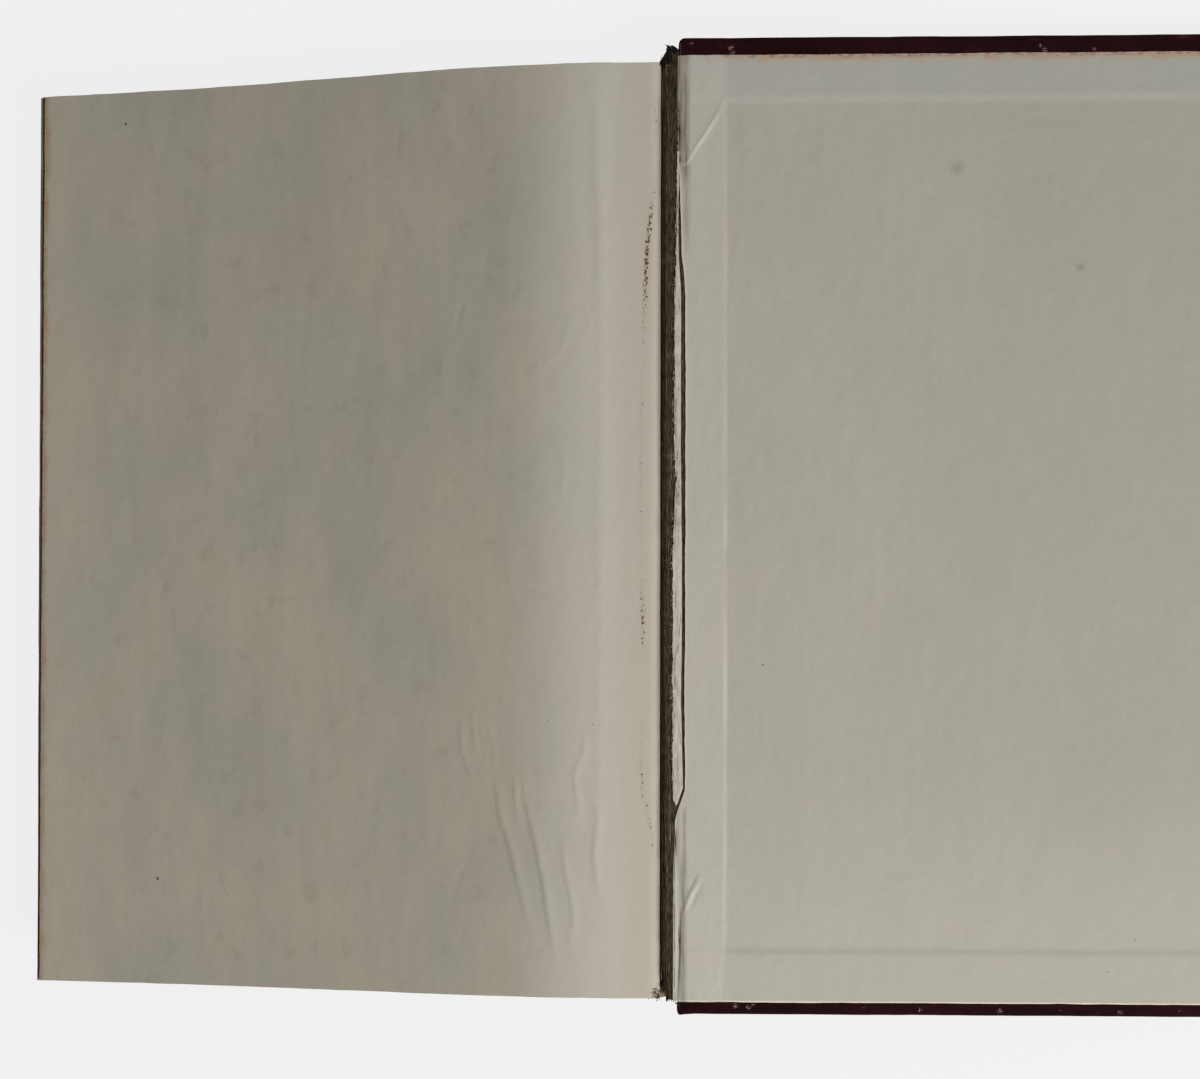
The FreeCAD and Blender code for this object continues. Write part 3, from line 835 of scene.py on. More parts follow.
def painted_shade_and_dirt(u, y):
    """Painted shade with some dirt: grey streaked bands where the endpaper bends down into the joint, and
    dark lines in its creases.
    """
    head = smooth((y - 86) / 8) * smooth((6.4 - u) / 1.8)
    below = smooth((96 - y) / 6) * smooth((y - 66) / 12) * np.exp(-(((u - 4.9) / 0.8) ** 2))
    tail = smooth((-80 - y) / 8) * np.exp(-(((u - 4.3) / 0.75) ** 2))
    two_folds = np.exp(-(((u - 4.7) / 0.35) ** 2)) + 0.7 * np.exp(-(((u - 3.0) / 0.3) ** 2))
    wrinkled = smooth((-70 - y) / 3) * smooth((y + 90) / 6) * two_folds
    crease = 1.5 * ridge(u, y, ((3.9, -96), (3.6, -108), (3.0, -121)), 0.28, 1.0)
    fold_line = ridge(u, y, ((5.2, -94.2), (6.5, -91.2), (8.6, -87)), 0.2, 0.9)
    return head + 0.7 * below + 0.9 * tail + 0.8 * wrinkled + crease + fold_line


def painted_crease_light(u, y):
    """Painted highlights where the tops of folds, the raised tail edge and the step at the mull's edge face
    the lamp; the folds are partly rubbed pale too.
    """
    head = ridge(u, y, HEAD_CREASE[:5], 0.36, 0.9)
    head = head + ridge(u, y, ((3.6, 92), (5.4, 92.6), (6.4, 94.6)), 0.25, 0.8)
    tail = ridge(u, y, ((4.9, -97.4), (6.6, -93.2), (8.9, -88.6)), 0.3, 0.35)
    edge = 0.5 * ridge(u, y, ((2.4, -78), (2.5, -100), (2.5, -119.9)), 0.5, 1.0)
    patchy_light = np.clip(0.2 + 0.5 * layered(y / 14, 0.3, 117, 2), 0, 0.5) * (0.5 + 0.5 * smooth((20 - y) / 40))
    mull = patchy_light * ridge(u, y, ((15.3, 100), (15.1, 40), (15.0, -60), (14.8, -108)), 0.45, 1.0)
    return head + tail + edge + mull


def near_tear(u, y):
    """The pale, thinned lip of the torn edge."""
    return np.exp(-(((u - torn_edge(y)) / 0.35) ** 2)) * smooth((95 - y) / 6) * smooth((y + 72) / 6)


FINE_ACROSS = np.concatenate(
    [np.arange(0, 6, 0.3), np.arange(6, 16, 0.45), np.arange(16, 168, 1.3), [168.0, 168.7]]
)
FINE_UP = np.concatenate(
    [[-120.0], np.arange(-119.6, -86, 0.6), np.arange(-86, 90, 1.3), np.arange(90, 119.7, 0.45), [120.0]]
)
PLAIN_ACROSS = np.concatenate([[0.0, 0.5], np.arange(1, 168, 2.6), [168.0, 168.7]])
PLAIN_UP = np.concatenate([[-120.0], np.arange(-119.6, 119.6, 2.4), [119.6, 120.0]])


def make_pastedown(name, node, body, material, place, spine_edge, relief, grid, marks=None):
    near, rows = grid
    t, y = np.meshgrid(near / near[-1], rows)
    inner = spine_edge(y)
    u = inner + t * (PASTE_OUTER - 0.2 - inner)
    y = y + np.where(np.abs(y) > 119.9, 0.12 * layered(u / 5, np.sign(y), 131, 3), 0)
    top = paste_level(u, y, MULL_EDGE + 0.8 - 1.1 * smooth((-104 - y) / 10)) + relief(u, y)
    local = flat(u, y)
    lower = top - LEAF_THICK * (0.35 + 0.65 * smooth((u - inner) / 0.8))
    part = sheet(place(u, y, top), place(u, y, lower), local)
    return piece(name, [part], body, material, [node], marks=marks)


STRIP_FIBRES = 150
SLIVERS = 90


def make_torn_strip():
    y = np.linspace(95.6, -70.3, 560)
    left = follow(STRIP_LEFT, y) + 0.24 * layered(y / 2.4, 0.1, 141, 3) + 0.12 * layered(y / 0.5, 0.9, 147, 2)
    right = follow(STRIP_RIGHT, y) + 0.08 * layered(y / 3, 0.6, 151, 3)
    left = np.minimum(left, right - 0.15)
    t = np.linspace(0, 1, 9)
    u = left[:, None] + t * (right - left)[:, None]
    yy = np.broadcast_to(y[:, None], u.shape)
    curl = 0.34 * (1 - t) ** 2 * (0.6 + 0.6 * layered(y / 12, 0.4, 157, 2))[:, None]
    hump = 0.16 * np.sin(math.pi * t) + 0.06 * layered(u / 0.6, yy / 2.5, 161, 2)
    top = 0.56 + curl + hump
    thick = 0.06 + 0.2 * smooth(t / 0.6)
    part = sheet(on_back(u, yy, top), on_back(u, yy, top - thick), flat(u, yy))
    parts = [part]
    rng = np.random.default_rng(163)
    for k in range(STRIP_FIBRES):
        at = rng.uniform(-68, 92)
        start = follow(STRIP_LEFT, at) + rng.uniform(-0.05, 0.35)
        lean = rng.normal(0, 0.9)
        reach = rng.uniform(0.25, 0.8)
        s = np.linspace(0, 1, 5)
        path_u = start + 0.2 - (reach + 0.2) * s
        path_y = at + lean * s + 0.15 * np.sin(s * 5 + k)
        path_v = 0.72 + rng.uniform(-0.1, 0.3) * s
        local = np.stack([path_u, path_y, path_v], -1)
        parts.append(tube(on_back(path_u, path_y, path_v), rng.uniform(0.025, 0.055), local, 4))
    piece("torn_strip", parts, "back_cover", torn_paper, ["torn_hinge_strip"])
    slivers = []
    for k in range(SLIVERS):
        at = rng.uniform(-69, 30) if k % 4 else rng.uniform(30, 88)
        length = rng.uniform(1.2, 5.0)
        s = np.linspace(0, 1, 8)
        left_here, right_here = follow(STRIP_LEFT, at), follow(STRIP_RIGHT, at)
        share = rng.beta(1.2, 2.2)
        path_u = left_here + share * (right_here - left_here) - 0.1
        path_u = path_u + rng.normal(0, 0.25) * s + 0.05 * np.sin(s * 7 + k)
        path_y = np.clip(at - length * (s - 0.5), -70, 93)
        path_v = 0.74 + 0.3 * (1 - share) ** 2 + 0.12 * np.sin(math.pi * s)
        local = np.stack([path_u, path_y, path_v], -1)
        slivers.append(tube(on_back(path_u, path_y, path_v), rng.uniform(0.035, 0.085), local, 4))
    return piece("torn_slivers", slivers, "back_cover", torn_fluff)


# Mull, joints and spine
def spine_point(radius, angle):
    return SPINE_CENTRE[0] + radius * np.cos(angle), SPINE_CENTRE[1] + radius * np.sin(angle)


def along(points, step):
    """Points at even steps along a broken line."""
    points = np.array(points, float)
    lengths = np.concatenate([[0], np.cumsum(np.linalg.norm(np.diff(points, axis=0), axis=1))])
    count = max(2, int(lengths[-1] / step) + 1)
    at = np.linspace(0, lengths[-1], count)
    return np.stack([np.interp(at, lengths, points[:, k]) for k in range(points.shape[1])], -1)


def ribbon(inner, outer, y0, y1, step, bumps=0.0, seed=0):
    """A sheet between two profiles in x and z, drawn out along y. y0 and y1 may vary along the profile."""
    inner, outer = np.array(inner, float), np.array(outer, float)
    count = len(inner)
    rows = max(2, int(np.max(np.abs(np.asarray(y1) - np.asarray(y0))) / step) + 1)
    t = np.linspace(0, 1, rows)[:, None]
    y = np.asarray(y0) * (1 - t) + np.asarray(y1) * t
    y = np.broadcast_to(y, (rows, count))
    lengths = np.concatenate([[0], np.cumsum(np.linalg.norm(np.diff(outer, axis=0), axis=1))])
    s = np.broadcast_to(lengths, (rows, count))
    normal = outer - inner
    normal = normal / np.linalg.norm(normal, axis=1)[:, None]
    rise = bumps * layered(s / 1.5, y / 3, seed, 3)
    grids = []
    for line in (outer, inner):
        x = line[:, 0] + rise * normal[:, 0]
        z = line[:, 1] + rise * normal[:, 1]
        grids.append(on_block(x, y, z))
    return sheet(grids[0], grids[1], np.stack([s, y, 0 * y], -1))


MULL_TAIL = TURN_IN_TAIL + 0.5
MULL_HEAD = TURN_IN_HEAD - 0.5
JOINT_TOP = BACK_FOLD_Z - 0.9
BACK_ENDS = (on_block(1.75, 0, JOINT_TOP), on_back(0.3, 0, 0.0))
FRONT_ENDS = (on_block(2.0, 0, 3.9), on_block(FOLD_X - 0.3, 0, FRONT_FOLD_Z))


def make_spine_mull():
    angles = np.linspace(-SPINE_ANGLE, SPINE_ANGLE, 24)
    inner = np.stack(spine_point(SPINE_RADIUS, angles), -1)
    outer = np.stack(spine_point(SPINE_RADIUS + MULL_THICK, angles), -1)
    ring = ribbon(inner, outer, MULL_TAIL, MULL_HEAD, 2.0)
    rise_in = along([(0.0, 20.9), (1.5, JOINT_TOP)], 0.3)
    rise_out = rise_in + np.array([0.3, -0.05])
    rise = ribbon(rise_out, rise_in, MULL_TAIL, MULL_HEAD, 0.8, 0.05, 171)
    fall = ribbon([(0.05, 4.05), (0.9, 4.05)], [(0.05, 3.8), (0.9, 3.75)], MULL_TAIL, MULL_HEAD, 2.0)
    return piece("spine_mull_cloth", [ring, rise, fall], "book_block", mull_glue_and_shade, ["spine_mull"])


def make_flange(name, node, body, place, seed, sag, step):
    columns = np.concatenate([np.arange(0.3, 6, 0.3), np.arange(6, MULL_EDGE + 0.1, 1.35)])
    u, y = np.meshgrid(columns, np.arange(MULL_TAIL, MULL_HEAD, step))
    top = MULL_THICK - 0.02 + 0.05 * layered(u / 0.7, y / 2.5, seed, 3) * smooth((7 - u) / 2)
    sink = flap_drop(u, y) * sag * smooth((u - torn_edge(y) + 0.35) / 0.4)
    part = sheet(place(u, y, top - sink), place(u, y, 0.01 - sink), flat(u, y))
    return piece(name, [part], body, mull_glue_and_shade, [node])


def make_back_joint():
    """Mull that crosses the cracked joint."""
    bottom = back_point(0.6, 0.0)
    top = back_point(0.6, 0.3)
    inner = [(1.8, JOINT_TOP - 0.3), (1.8, JOINT_TOP), (1.82, 23.7), (1.95, 24.0), bottom]
    outer = [(1.48, JOINT_TOP - 0.3), (1.5, JOINT_TOP), (1.52, 23.8), (1.78, 24.28), top]
    sheet_part = ribbon(inner, outer, MULL_TAIL, MULL_HEAD, 0.8, 0.04, 181)
    return piece("back_joint_mull", [sheet_part], BACK_JOINT, mull_glue_and_shade)


def joint_path(share):
    """The inner face of the back joint, from the pages' corner (0) to the torn strip (1), in x and z."""
    bend = [(0.02, 21.0), (1.4, JOINT_TOP), (1.42, 23.85), (1.75, 24.33)]
    line = along(bend + [back_point(0.6, 0.36), back_point(5.2, 0.36)], 0.1)
    at = np.clip(share, 0, 1) * (len(line) - 1)
    k = np.arange(len(line))
    return np.interp(at, k, line[:, 0]), np.interp(at, k, line[:, 1])


# Places along the crack and across it of a few pale threads
PALE_THREADS = (
    (33.6, 29.5, 0.62), (19.0, 9.5, 0.55), (16.0, 11.5, 0.66), (-24, -30, 0.7), (-40, -52, 0.6),
    (60, 52, 0.68), (-75, -79.5, 0.55),
)
THREAD_TAIL, THREAD_HEAD = -116.5, 119.6  # how far the loosest fibres reach
THREADS_ALONG, THREADS_ACROSS = 210, 70


def joint_thread(shares, ys, lift):
    x, z = joint_path(shares)
    return on_block(x - lift * 0.5, ys, z + lift), np.stack([shares * 8, ys, 0 * ys], -1)


def make_threads():
    """Fibres of the mull laid bare in the crack: most run along it, a few cross it, some are pale."""
    rng = np.random.default_rng(191)
    along_parts, across_parts, pale_parts = [], [], []
    for k in range(THREADS_ALONG):
        at = rng.uniform(THREAD_TAIL + 4, THREAD_HEAD - 4)
        length = rng.uniform(8, 34)
        ys = np.arange(max(at - length / 2, THREAD_TAIL), min(at + length / 2, THREAD_HEAD), 0.9)
        share = rng.uniform(0.12, 0.92)
        lean = rng.normal(0, 0.0035)
        shares = share + lean * (ys - at) + 0.02 * layered(ys / 7, k * 3.3, 193, 2)
        path, local = joint_thread(shares, ys, 0.02 + rng.uniform(0, 0.05))
        along_parts.append(tube(path, rng.uniform(0.035, 0.085), local, 4))
    for _ in range(THREADS_ACROSS):
        y = rng.uniform(MULL_TAIL + 3, MULL_HEAD - 3)
        first = rng.uniform(0.02, 0.3)
        s = np.linspace(first, first + rng.uniform(0.25, 0.6), 10)
        slant = rng.normal(0, 7)
        ys = y + slant * (s - first) + 0.1 * np.sin(s * 12 + y)
        path, local = joint_thread(s, ys, 0.07)
        across_parts.append(tube(path, rng.uniform(0.03, 0.06), local, 4))
    for y0, y1, share in PALE_THREADS:
        ys = np.linspace(y0, y1, 16)
        shares = share + 0.03 * np.sin(np.linspace(0, 4, 16) + y0) + 0.02 * layered(ys / 1.5, 0.2, 199, 2)
        path, local = joint_thread(shares, ys, 0.14)
        pale_parts.append(tube(path, 0.045, local, 5))
    piece("joint_threads_along", along_parts, BACK_JOINT, mull_thread)
    piece("joint_threads_across", across_parts, BACK_JOINT, mull_thread)
    piece("joint_threads_pale", pale_parts, BACK_JOINT, pale_thread)


def make_front_joint():
    inner = [(0.7, 3.78), (0.95, 3.76), (1.35, 3.6), (1.45, 3.25), (1.2, 3.02)]
    outer = [(0.7, 4.02), (1.05, 4.04), (1.65, 3.75), (1.72, 3.2), (1.35, 2.98)]
    part = ribbon(inner, outer, MULL_TAIL, MULL_HEAD, 1.5, 0.02, 201)
    piece("front_joint_mull", [part], FRONT_JOINT, mull_glue_and_shade)
    over = [(-1.0, 3.66), (0.2, 3.64), (0.9, 3.62), (1.2, 3.5), (1.15, 3.36), (0.6, 3.34), (-0.4, 3.42)]
    under = [(-1.0, 3.84), (0.2, 3.84), (1.05, 3.82), (1.42, 3.58), (1.36, 3.3), (0.7, 3.18), (-0.4, 3.24)]
    part = ribbon(over, under, -HALF_PAGE + 0.4, HALF_PAGE - 0.6, 2.0, 0.02, 203)
    piece("front_hinge_paper", [part], FRONT_JOINT, plain_paper)


def resampled(line, count):
    """A profile of (x, z) points, read at even steps between its points."""
    at = np.linspace(0, len(line) - 1, count)
    return np.stack([np.interp(at, np.arange(len(line)), line[:, k]) for k in (0, 1)], -1)


def cloth_ends(count, seed, worn_tail, worn_head, fray):
    """Ragged tail and head ends of a strip of cloth."""
    s = np.arange(count)
    tail = worn_tail + fray * layered(s / 1.7, 0.3, seed, 3)
    head = worn_head + fray * 0.5 * layered(s / 1.3, 0.8, seed + 5, 3)
    return tail, head


def make_spine_cloth():
    angles = np.linspace(-CARD_ANGLE, CARD_ANGLE, 46)
    arc_in = np.stack(spine_point(CARD_RADIUS, angles), -1)
    arc_out = np.stack(spine_point(CARD_RADIUS + CLOTH_THICK, angles), -1)
    low_in, low_out = (1.9, 3.9), (2.3, 3.9)
    top_in, top_out = (1.8, JOINT_TOP), (2.2, JOINT_TOP)

    def profile(low, arc, top):
        down = along([low, arc[0]], 0.5)[:-1]
        up = along([arc[-1], top], 0.5)[1:]
        return np.concatenate([down, arc, up])

    inner, outer = profile(low_in, arc_in, top_in), profile(low_out, arc_out, top_out)
    if len(inner) != len(outer):
        inner, outer = along(inner, 0.5), along(outer, 0.5)
        shorter = min(len(inner), len(outer))
        inner, outer = resampled(inner, shorter), resampled(outer, shorter)
    count = len(inner)
    tail, head = cloth_ends(count, 211, COVER_TAIL + 3.4, COVER_HEAD - 0.9, 0.9)
    side = np.minimum(np.arange(count), np.arange(count)[::-1])
    head = head - 0.7 * (side < 6)
    body = ribbon(inner, outer, tail, head, 1.3, 0.05, 213)
    radius = (CLOTH_THICK * 2 + CARD_THICK) / 2
    turn = np.linspace(math.pi / 2, -math.pi / 2, 12)
    ys = np.concatenate([[COVER_HEAD - 3], COVER_HEAD - radius + radius * np.cos(turn), [TURN_IN_HEAD]])
    rise = np.concatenate([[0], radius * (np.sin(turn) - 1), [-2 * radius]])
    part_angles = np.linspace(-CARD_ANGLE, CARD_ANGLE, 40)
    a, yy = np.meshgrid(part_angles, ys)
    h = np.meshgrid(part_angles, rise)[1]
    bulge = 0.05 * noise(a * 12, yy, 217)
    r_out = CARD_RADIUS + CLOTH_THICK + 0.02 + h + bulge
    thin = CLOTH_THICK * 0.9
    centre_r = CARD_RADIUS + CLOTH_THICK - radius
    direction = np.concatenate([[1], np.sin(turn), [-1]])[:, None]
    push = np.concatenate([[0], np.cos(turn), [0]])[:, None]
    x1, z1 = spine_point(r_out, a)
    x2, z2 = spine_point(r_out - direction * thin, a)
    cap = sheet(on_block(x1, yy, z1), on_block(x2, yy - push * thin, z2), np.stack([a * centre_r, yy, h], -1))
    return piece("spine_covering", [body, cap], "book_block", cloth, ["spine_cloth"])


# How far the worn joint cloth reaches at the head and at the tail, over its distance from the pages
HEAD_FRAY = (
    (0.0, 120.6), (1.3, 121.0), (1.75, 122.1), (2.05, 123.0), (2.35, 121.7), (2.65, 121.2), (3.1, 122.1),
    (3.5, 121.1), (4.6, 121.0),
)
TAIL_FRAY = (
    (0.0, -116.6), (1.5, -116.9), (1.75, -118.0), (2.3, -118.2), (2.6, -119.4), (3.4, -119.7), (4.6, -119.9),
)
HEAD_RAG = ((-0.3, 120.1), (0.2, 120.5), (0.9, 121.0), (1.5, 121.6), (2.0, 123.0), (2.5, 121.7), (3.0, 121.9))


def frayed(line, x, seed, rough):
    places, ends = zip(*line)
    return np.interp(x, places, ends) + rough * layered(x / 0.35, 0.5, seed, 3)


def make_cloth_joints():
    outer = [(2.2, JOINT_TOP - 0.3), (2.2, JOINT_TOP), (2.2, 23.4), (2.3, 23.6)]
    outer += [back_point(u, -0.44) for u in (0.62, 3.2)]
    inner = [(1.82, JOINT_TOP - 0.3), (1.8, JOINT_TOP), (1.8, 23.7), (1.9, 23.98)]
    inner += [back_point(u, -0.02) for u in (0.62, 3.2)]
    outer, inner = (along(line, 0.01) for line in (outer, inner))
    pick = np.linspace(0, 1, 34)
    outer, inner = (
        np.stack([np.interp(pick, np.linspace(0, 1, len(p)), p[:, k]) for k in (0, 1)], -1)
        for p in (outer, inner)
    )
    tail = frayed(TAIL_FRAY, inner[:, 0], 221, 0.25)
    head = frayed(HEAD_FRAY, inner[:, 0], 223, 0.3)
    middle = (inner + outer) / 2
    glued = ribbon(inner, middle, tail, head, 1.0, 0.03, 225)
    piece("back_joint_glue", [glued], BACK_JOINT, joint_inner, sharp=60)
    covering = ribbon(middle, outer, tail, head, 1.0, 0.02, 225)
    piece("back_joint_cloth", [covering], BACK_JOINT, cloth, sharp=60)
    outer = [(2.3, 4.1), (2.3, 3.7), (2.2, 3.0), (1.9, 2.66), (1.3, 2.6), (-1.3, 2.6)]
    inner = [(1.9, 4.1), (1.9, 3.75), (1.85, 3.2), (1.65, 3.02), (1.3, 3.0), (-1.3, 3.0)]
    tail, head = cloth_ends(len(inner), 227, COVER_TAIL + 3.6, COVER_HEAD - 1.5, 0.5)
    part = ribbon(inner, outer, tail, head, 1.0, 0.02, 229)
    piece("front_joint_cloth", [part], FRONT_JOINT, cloth)


FRAYED_ENDS = 46
CRUMBS, LUMPS, SHREDS = 34, 9, 12  # at the tail of the joint
FLAP_BITS, TAIL_BITS = 26, 7  # grit beside the two flaps


def joint_level(x):
    """The height of the back joint's cloth over the pages' edge and beyond."""
    return np.interp(x, [0, 1.6, 1.9, 5], [21.2, 23.3, 24.2, 23.9])


def make_fray():
    """Loose ends: torn cloth and threads at the head and tail of the back joint."""
    rng = np.random.default_rng(241)
    dark, brown, pale = [], [], []
    for k in range(FRAYED_ENDS):
        x = rng.uniform(0.1, 3.9)
        top = np.interp(x, *zip(*HEAD_FRAY))
        s = np.linspace(0, 1, 6)
        reach = rng.uniform(0.5, 1.3)
        lean = rng.normal(0, 0.35)
        z = joint_level(x)
        path = on_block(x + lean * s**2, top - 0.7 + reach * s, z + rng.normal(0, 0.15) * s)
        dark.append(tube(path, rng.uniform(0.04, 0.09), None, 4))
        x = rng.uniform(0.2, 3.8)
        low = np.interp(x, *zip(*TAIL_FRAY))
        z = joint_level(x)
        path = on_block(x + lean * s**2, low + 0.7 - reach * s, z + rng.normal(0, 0.15) * s)
        (brown if k % 3 else dark).append(tube(path, rng.uniform(0.035, 0.08), None, 4))
    rag = along([(-0.3, 21.7), (0.3, 21.9), (1.3, 23.3), (1.9, 24.3), (3.0, 24.3)], 0.16)
    top = frayed(HEAD_RAG, rag[:, 0], 243, 0.35)
    low = np.interp(rag[:, 0], (-0.3, 0.3, 1.2, 3.0), (119.2, 118.4, 117.6, 118.6))
    dark.append(ribbon(rag - np.array([0.0, 0.16]), rag, low, top, 0.3, 0.05, 245))
    base = along([(0.05, 21.6), (0.5, 22.2), (1.1, 22.9)], 0.12)
    ragged = frayed(((0, -116.9), (1.2, -116.4)), base[:, 0], 247, 0.25)
    dark.append(ribbon(base - np.array([0.0, 0.12]), base, ragged, -111.5, 0.4, 0.05, 249))
    loop = np.linspace(0, 2 * math.pi, 18)
    across, up = 0.7 + 0.3 * np.sin(loop) * 0.6, -113.2 + 1.7 * np.cos(loop)
    path = on_block(across, up, 22.4 + 0.2 * np.sin(2 * loop))
    pale.append(tube(path, 0.06, None, 5))
    piece("frayed_cloth", dark, BACK_JOINT, joint_cloth)
    piece("frayed_mull", brown, BACK_JOINT, mull_thread)
    crumbs, lumps = [], []
    for k in range(CRUMBS):
        x, y = -rng.gamma(1.6, 0.45) + 0.1, -120.1 + rng.gamma(1.4, 0.75)
        size = rng.uniform(0.1, 0.3) * np.array([1, 1.2, 0.5])
        crumbs.append(chip(on_block(x, y, 21.8 + 0.35 * size[2]), size, 251 + k))
    for k in range(LUMPS):
        x, y = rng.uniform(-0.9, 0.2), rng.uniform(-120.5, -119.5)
        size = rng.uniform(0.14, 0.3) * np.array([1, 0.8, 0.6])
        lumps.append(chip(on_block(x, y, 21.8), size, 301 + k))
    for k in range(SHREDS):
        y0 = rng.uniform(-119.8, -117)
        s = np.linspace(0, 1, 6)
        x = -rng.uniform(0.0, 1.2) - rng.uniform(0.3, 1.6) * s
        path = on_block(x, y0 + rng.normal(0, 0.5) * s, 21.88 + 0.1 * np.sin(s * 4 + k))
        (crumbs if k % 3 else lumps).append(tube(path, 0.05, None, 4))
    bits = []
    for k in range(FLAP_BITS):
        y = rng.uniform(95, 119.5)
        size = rng.uniform(0.08, 0.2) * np.array([1, 1.5, 0.6])
        centre = on_back(2.75 + rng.uniform(-0.1, 0.15), y, 0.8 - flap_drop(2.75, y))
        bits.append(chip(centre, size, 351 + k))
    for k in range(TAIL_BITS):
        centre = on_back(rng.uniform(2.5, 3.5), rng.uniform(-120.6, -119.6), 0.3)
        bits.append(chip(centre, np.array([0.3, 0.35, 0.2]), 381 + k))
    piece("flap_grit", bits, "back_cover", joint_cloth)
    piece("joint_debris", crumbs, "book_block", debris_brown)
    piece("joint_lint", lumps + pale, "book_block", pale_thread)


# Cloth round the boards
CORNER = 1.6  # radius of a cover's corners
ROUND = 0.5  # how the cloth rounds over an edge
COVER_DEPTH = BOARD_THICK + CLOTH_THICK


def edge_profile(e):
    """The cloth's outer face at a distance e along it past the flat outer face: out, v and normal."""
    flat = CORNER - ROUND
    quarter = ROUND * math.pi / 2
    wall = COVER_DEPTH + CLOTH_THICK - 2 * ROUND
    marks = np.cumsum([flat, quarter, wall, quarter])
    low, high = -COVER_DEPTH, CLOTH_THICK
    turn1 = np.clip((e - marks[0]) / quarter, 0, 1) * math.pi / 2
    turn2 = np.clip((e - marks[2]) / quarter, 0, 1) * math.pi / 2
    angle = turn1 + turn2
    out = np.where(e < marks[0], e, flat + ROUND * np.sin(np.minimum(angle, math.pi / 2)))
    out = np.where(e > marks[2], flat + ROUND * np.sin(angle), out)
    out = np.where(e > marks[3], flat - (e - marks[3]), out)
    v = low + ROUND * (1 - np.cos(turn1)) + np.clip(e - marks[1], 0, wall)
    v = np.where(e > marks[2], high - ROUND + ROUND * np.sin(turn2), v)
    return out, v, np.sin(angle), -np.cos(angle)


def make_cover_cloth(name, node, body, place, seed):
    """Cloth glued round a board: outer face, rounded edges and corners, then mitred turn-ins."""
    lap = 0.9
    total = (CORNER - ROUND) + ROUND * math.pi + COVER_DEPTH + CLOTH_THICK - 2 * ROUND + lap
    u0, u1 = BOARD_EDGE - CLOTH_THICK + CORNER, COVER_OUTER - CORNER
    y0, y1 = COVER_TAIL + CORNER, COVER_HEAD - CORNER
    rim = np.linspace(0, total, 24)[1:]
    s = np.concatenate([u0 - rim[::-1], np.linspace(u0, u1, 60), u1 + rim])
    t = np.concatenate([y0 - rim[::-1], np.linspace(y0, y1, 86), y1 + rim])
    ss, tt = np.meshgrid(s, t)
    cu, cy = np.clip(ss, u0, u1), np.clip(tt, y0, y1)
    du, dy = ss - cu, tt - cy
    e = np.hypot(du, dy)
    far = np.maximum(np.abs(du), np.abs(dy))
    towards = np.where(du < 0, -du / np.maximum(e, 1e-6), 0) ** 2
    wall_top = total - lap - ROUND * math.pi / 2
    reach = np.where(e > 0, far * (1 + (wall_top / total - 1) * towards), 0)
    unit_u, unit_y = (np.divide(part, e, out=np.zeros_like(e), where=e > 0) for part in (du, dy))
    out, v, normal_out, normal_v = edge_profile(reach)
    out = np.where(reach > 0, out, 0)
    knock = 0.12 * np.maximum(0, layered(ss / 9, tt / 9, seed, 3)) * (normal_out > 0.3)
    skin = 0.05 * layered(ss / 7, tt / 9, seed + 7, 3) + 0.02 * layered(ss / 1.1, tt / 1.1, seed + 11, 2)
    swell_out = skin - knock

    def surface(depth):
        o = out + normal_out * (swell_out - depth)
        vv = v + normal_v * (swell_out - depth)
        u = cu + unit_u * o
        y = cy + unit_y * o
        point = np.exp(-(((u - 3.0) / 1.3) ** 2) - ((y - COVER_TAIL) / 1.6) ** 2)
        return place(u - 0.25 * point, y - 0.75 * point, vv)

    shell = sheet(surface(0), surface(CLOTH_THICK * 0.92), flat(ss, tt))
    parts = [shell]
    inner_edge = 0.6
    near_u, far_u = BOARD_EDGE - CLOTH_THICK + inner_edge, COVER_OUTER - inner_edge
    low_y, high_y = COVER_TAIL + inner_edge, COVER_HEAD - inner_edge
    strips = (
        ((near_u, low_y), (far_u, low_y), (TURN_IN_U, TURN_IN_TAIL), (near_u, TURN_IN_TAIL)),
        ((far_u, low_y), (far_u, high_y), (TURN_IN_U, TURN_IN_HEAD), (TURN_IN_U, TURN_IN_TAIL)),
        ((far_u, high_y), (near_u, high_y), (near_u, TURN_IN_HEAD), (TURN_IN_U, TURN_IN_HEAD)),
    )
    p, q = (g[..., None] for g in np.meshgrid(np.linspace(0, 1, 120), np.linspace(0, 1, 12)))
    for corners in strips:
        a, b, c, d = (np.array(corner, float) for corner in corners)
        turned = (a * (1 - p) + b * p) * (1 - q) + (d * (1 - p) + c * p) * q
        u, y = turned[..., 0], turned[..., 1]
        top = CLOTH_THICK + 0.03 * layered(u / 1.1, y / 1.1, seed + 13, 2) - 0.02
        parts.append(sheet(place(u, y, top), place(u, y, 0 * u + 0.02), flat(u, y)))
    piece(name, parts, body, cloth, [node], sharp=60)


def clad(node, material):
    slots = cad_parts[node].data.materials
    slots.clear()
    slots.append(material)


make_pages()
make_flyleaf()
make_front_flyleaf()
back_marks = {"torn": near_tear, "shade_and_dirt": painted_shade_and_dirt, "crease": painted_crease_light}
back_grid, front_grid = (FINE_ACROSS, FINE_UP), (PLAIN_ACROSS, PLAIN_UP)
make_pastedown(
    "pastedown_back", "back_pastedown", "back_cover", paste_paper, on_back,
    torn_edge, back_paste_relief, back_grid, back_marks,
)
make_pastedown(
    "pastedown_front", "front_pastedown", "front_cover", plain_paper, on_front,
    lambda y: 0.6 + 0 * y, lambda u, y: 0 * u, front_grid,
)
make_torn_strip()
make_spine_mull()
make_flange("back_mull", "back_mull_flange", "back_cover", on_back, 231, 1.0, 0.8)
make_flange("front_mull", "front_mull_flange", "front_cover", on_front, 233, 0.0, 2.0)
make_back_joint()
make_threads()
make_front_joint()
make_spine_cloth()
make_cloth_joints()
make_fray()
make_cover_cloth("back_covering", "back_cover_cloth", "back_cover", on_back, 401)
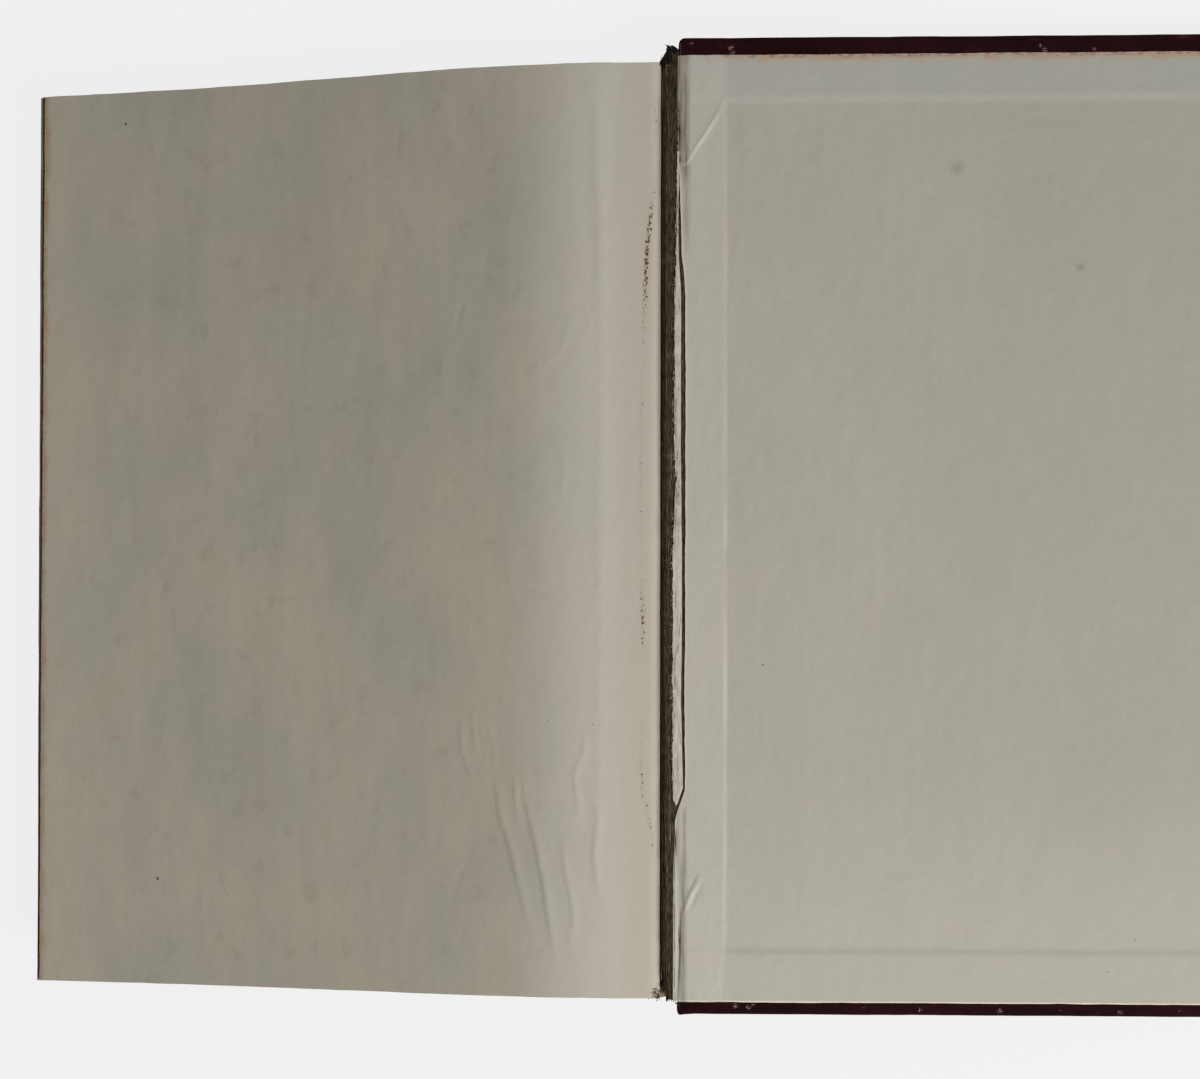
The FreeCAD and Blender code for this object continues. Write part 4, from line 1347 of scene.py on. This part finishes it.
make_cover_cloth("front_covering", "front_cover_cloth", "front_cover", on_front, 431)
for node in ("back_board", "front_board", "spine_inlay"):
    clad(node, card)
clad("spine_lining", lining)


# Camera, floor and light
CAMERA_PLACE = (34.94, -44.09, 382.21)
CAMERA_TURN = (8.139, 0.342, 0.109)  # tilt, pitch and roll in degrees
LENS, SENSOR, SHIFT_UP = 42.48, 36.0, 0.1254
PALE = colour(241, 241, 241)
FLOOR_HALF, FLOOR_LEVEL = 4.0, -0.0002  # metres
FLOOR_SEEN = 0.94  # how much of its own plain colour the camera sees, next to the shadow
WORLD_STRENGTH = 0.40
KEY_PLACE, KEY_SIZE, KEY_WATTS = (0.62, -0.55, 0.76), 0.32, 10.6


def make_camera():
    tilt, pitch, roll = (math.radians(a) for a in CAMERA_TURN)
    back = Vector((math.sin(tilt), 0, math.cos(tilt)))
    right = Vector((math.cos(tilt), 0, -math.sin(tilt)))
    up = Vector((0, 1, 0))
    up, back = math.cos(pitch) * up + math.sin(pitch) * back, math.cos(pitch) * back - math.sin(pitch) * up
    right, up = math.cos(roll) * right + math.sin(roll) * up, math.cos(roll) * up - math.sin(roll) * right
    data = bpy.data.cameras.new("camera")
    data.lens, data.sensor_width, data.shift_y = LENS, SENSOR, SHIFT_UP
    data.clip_start, data.clip_end = 0.01, 20
    camera = bpy.data.objects.new("camera", data)
    turned = Matrix((right, up, back)).transposed().to_4x4()
    camera.matrix_world = Matrix.Translation(Vector(CAMERA_PLACE) * MM) @ turned
    bpy.context.scene.collection.objects.link(camera)
    bpy.context.scene.camera = camera


def make_floor():
    s = Shader("floor", None)
    s.set(s.surface, {"Base Color": PALE, "Roughness": 0.9, "Specular IOR Level": 0.0})
    seen = s.add("ShaderNodeEmission", {"Color": PALE, "Strength": 1.0})
    rays = s.add("ShaderNodeLightPath")
    direct = s.math("MAXIMUM", rays.outputs["Is Camera Ray"], rays.outputs["Is Glossy Ray"])
    inputs = {0: s.times(direct, FLOOR_SEEN), 1: s.surface.outputs[0], 2: seen.outputs[0]}
    both = s.add("ShaderNodeMixShader", inputs)
    out = next(n for n in s.tree.nodes if n.type == "OUTPUT_MATERIAL")
    s.tree.links.new(both.outputs[0], out.inputs["Surface"])
    mesh = bpy.data.meshes.new("floor")
    corners = ((-1, -1), (1, -1), (1, 1), (-1, 1))
    mesh.from_pydata([(x * FLOOR_HALF, y * FLOOR_HALF, FLOOR_LEVEL) for x, y in corners], [], [(0, 1, 2, 3)])
    mesh.materials.append(s.material)
    floor = bpy.data.objects.new("floor", mesh)
    bpy.context.scene.collection.objects.link(floor)


def make_light():
    world = bpy.data.worlds.new("studio")
    bpy.context.scene.world = world
    world.use_nodes = True
    tree = world.node_tree
    tree.nodes.clear()
    out = tree.nodes.new("ShaderNodeOutputWorld")
    soft = tree.nodes.new("ShaderNodeBackground")
    soft.inputs["Color"].default_value = (1, 0.99, 0.97, 1)
    soft.inputs["Strength"].default_value = WORLD_STRENGTH
    seen = tree.nodes.new("ShaderNodeBackground")
    seen.inputs["Color"].default_value = PALE
    seen.inputs["Strength"].default_value = 1.0
    rays = tree.nodes.new("ShaderNodeLightPath")
    mix = tree.nodes.new("ShaderNodeMixShader")
    tree.links.new(rays.outputs["Is Camera Ray"], mix.inputs[0])
    tree.links.new(soft.outputs[0], mix.inputs[1])
    tree.links.new(seen.outputs[0], mix.inputs[2])
    tree.links.new(mix.outputs[0], out.inputs["Surface"])
    data = bpy.data.lights.new("key", "AREA")
    data.shape, data.size, data.energy = "SQUARE", KEY_SIZE, KEY_WATTS
    lamp = bpy.data.objects.new("key", data)
    place = Vector(KEY_PLACE)
    lamp.location = place
    lamp.rotation_mode = "QUATERNION"
    lamp.rotation_quaternion = (-place).to_track_quat("-Z", "Y")
    bpy.context.scene.collection.objects.link(lamp)


make_camera()
make_floor()
make_light()
bpy.context.scene.view_settings.view_transform = "Standard"
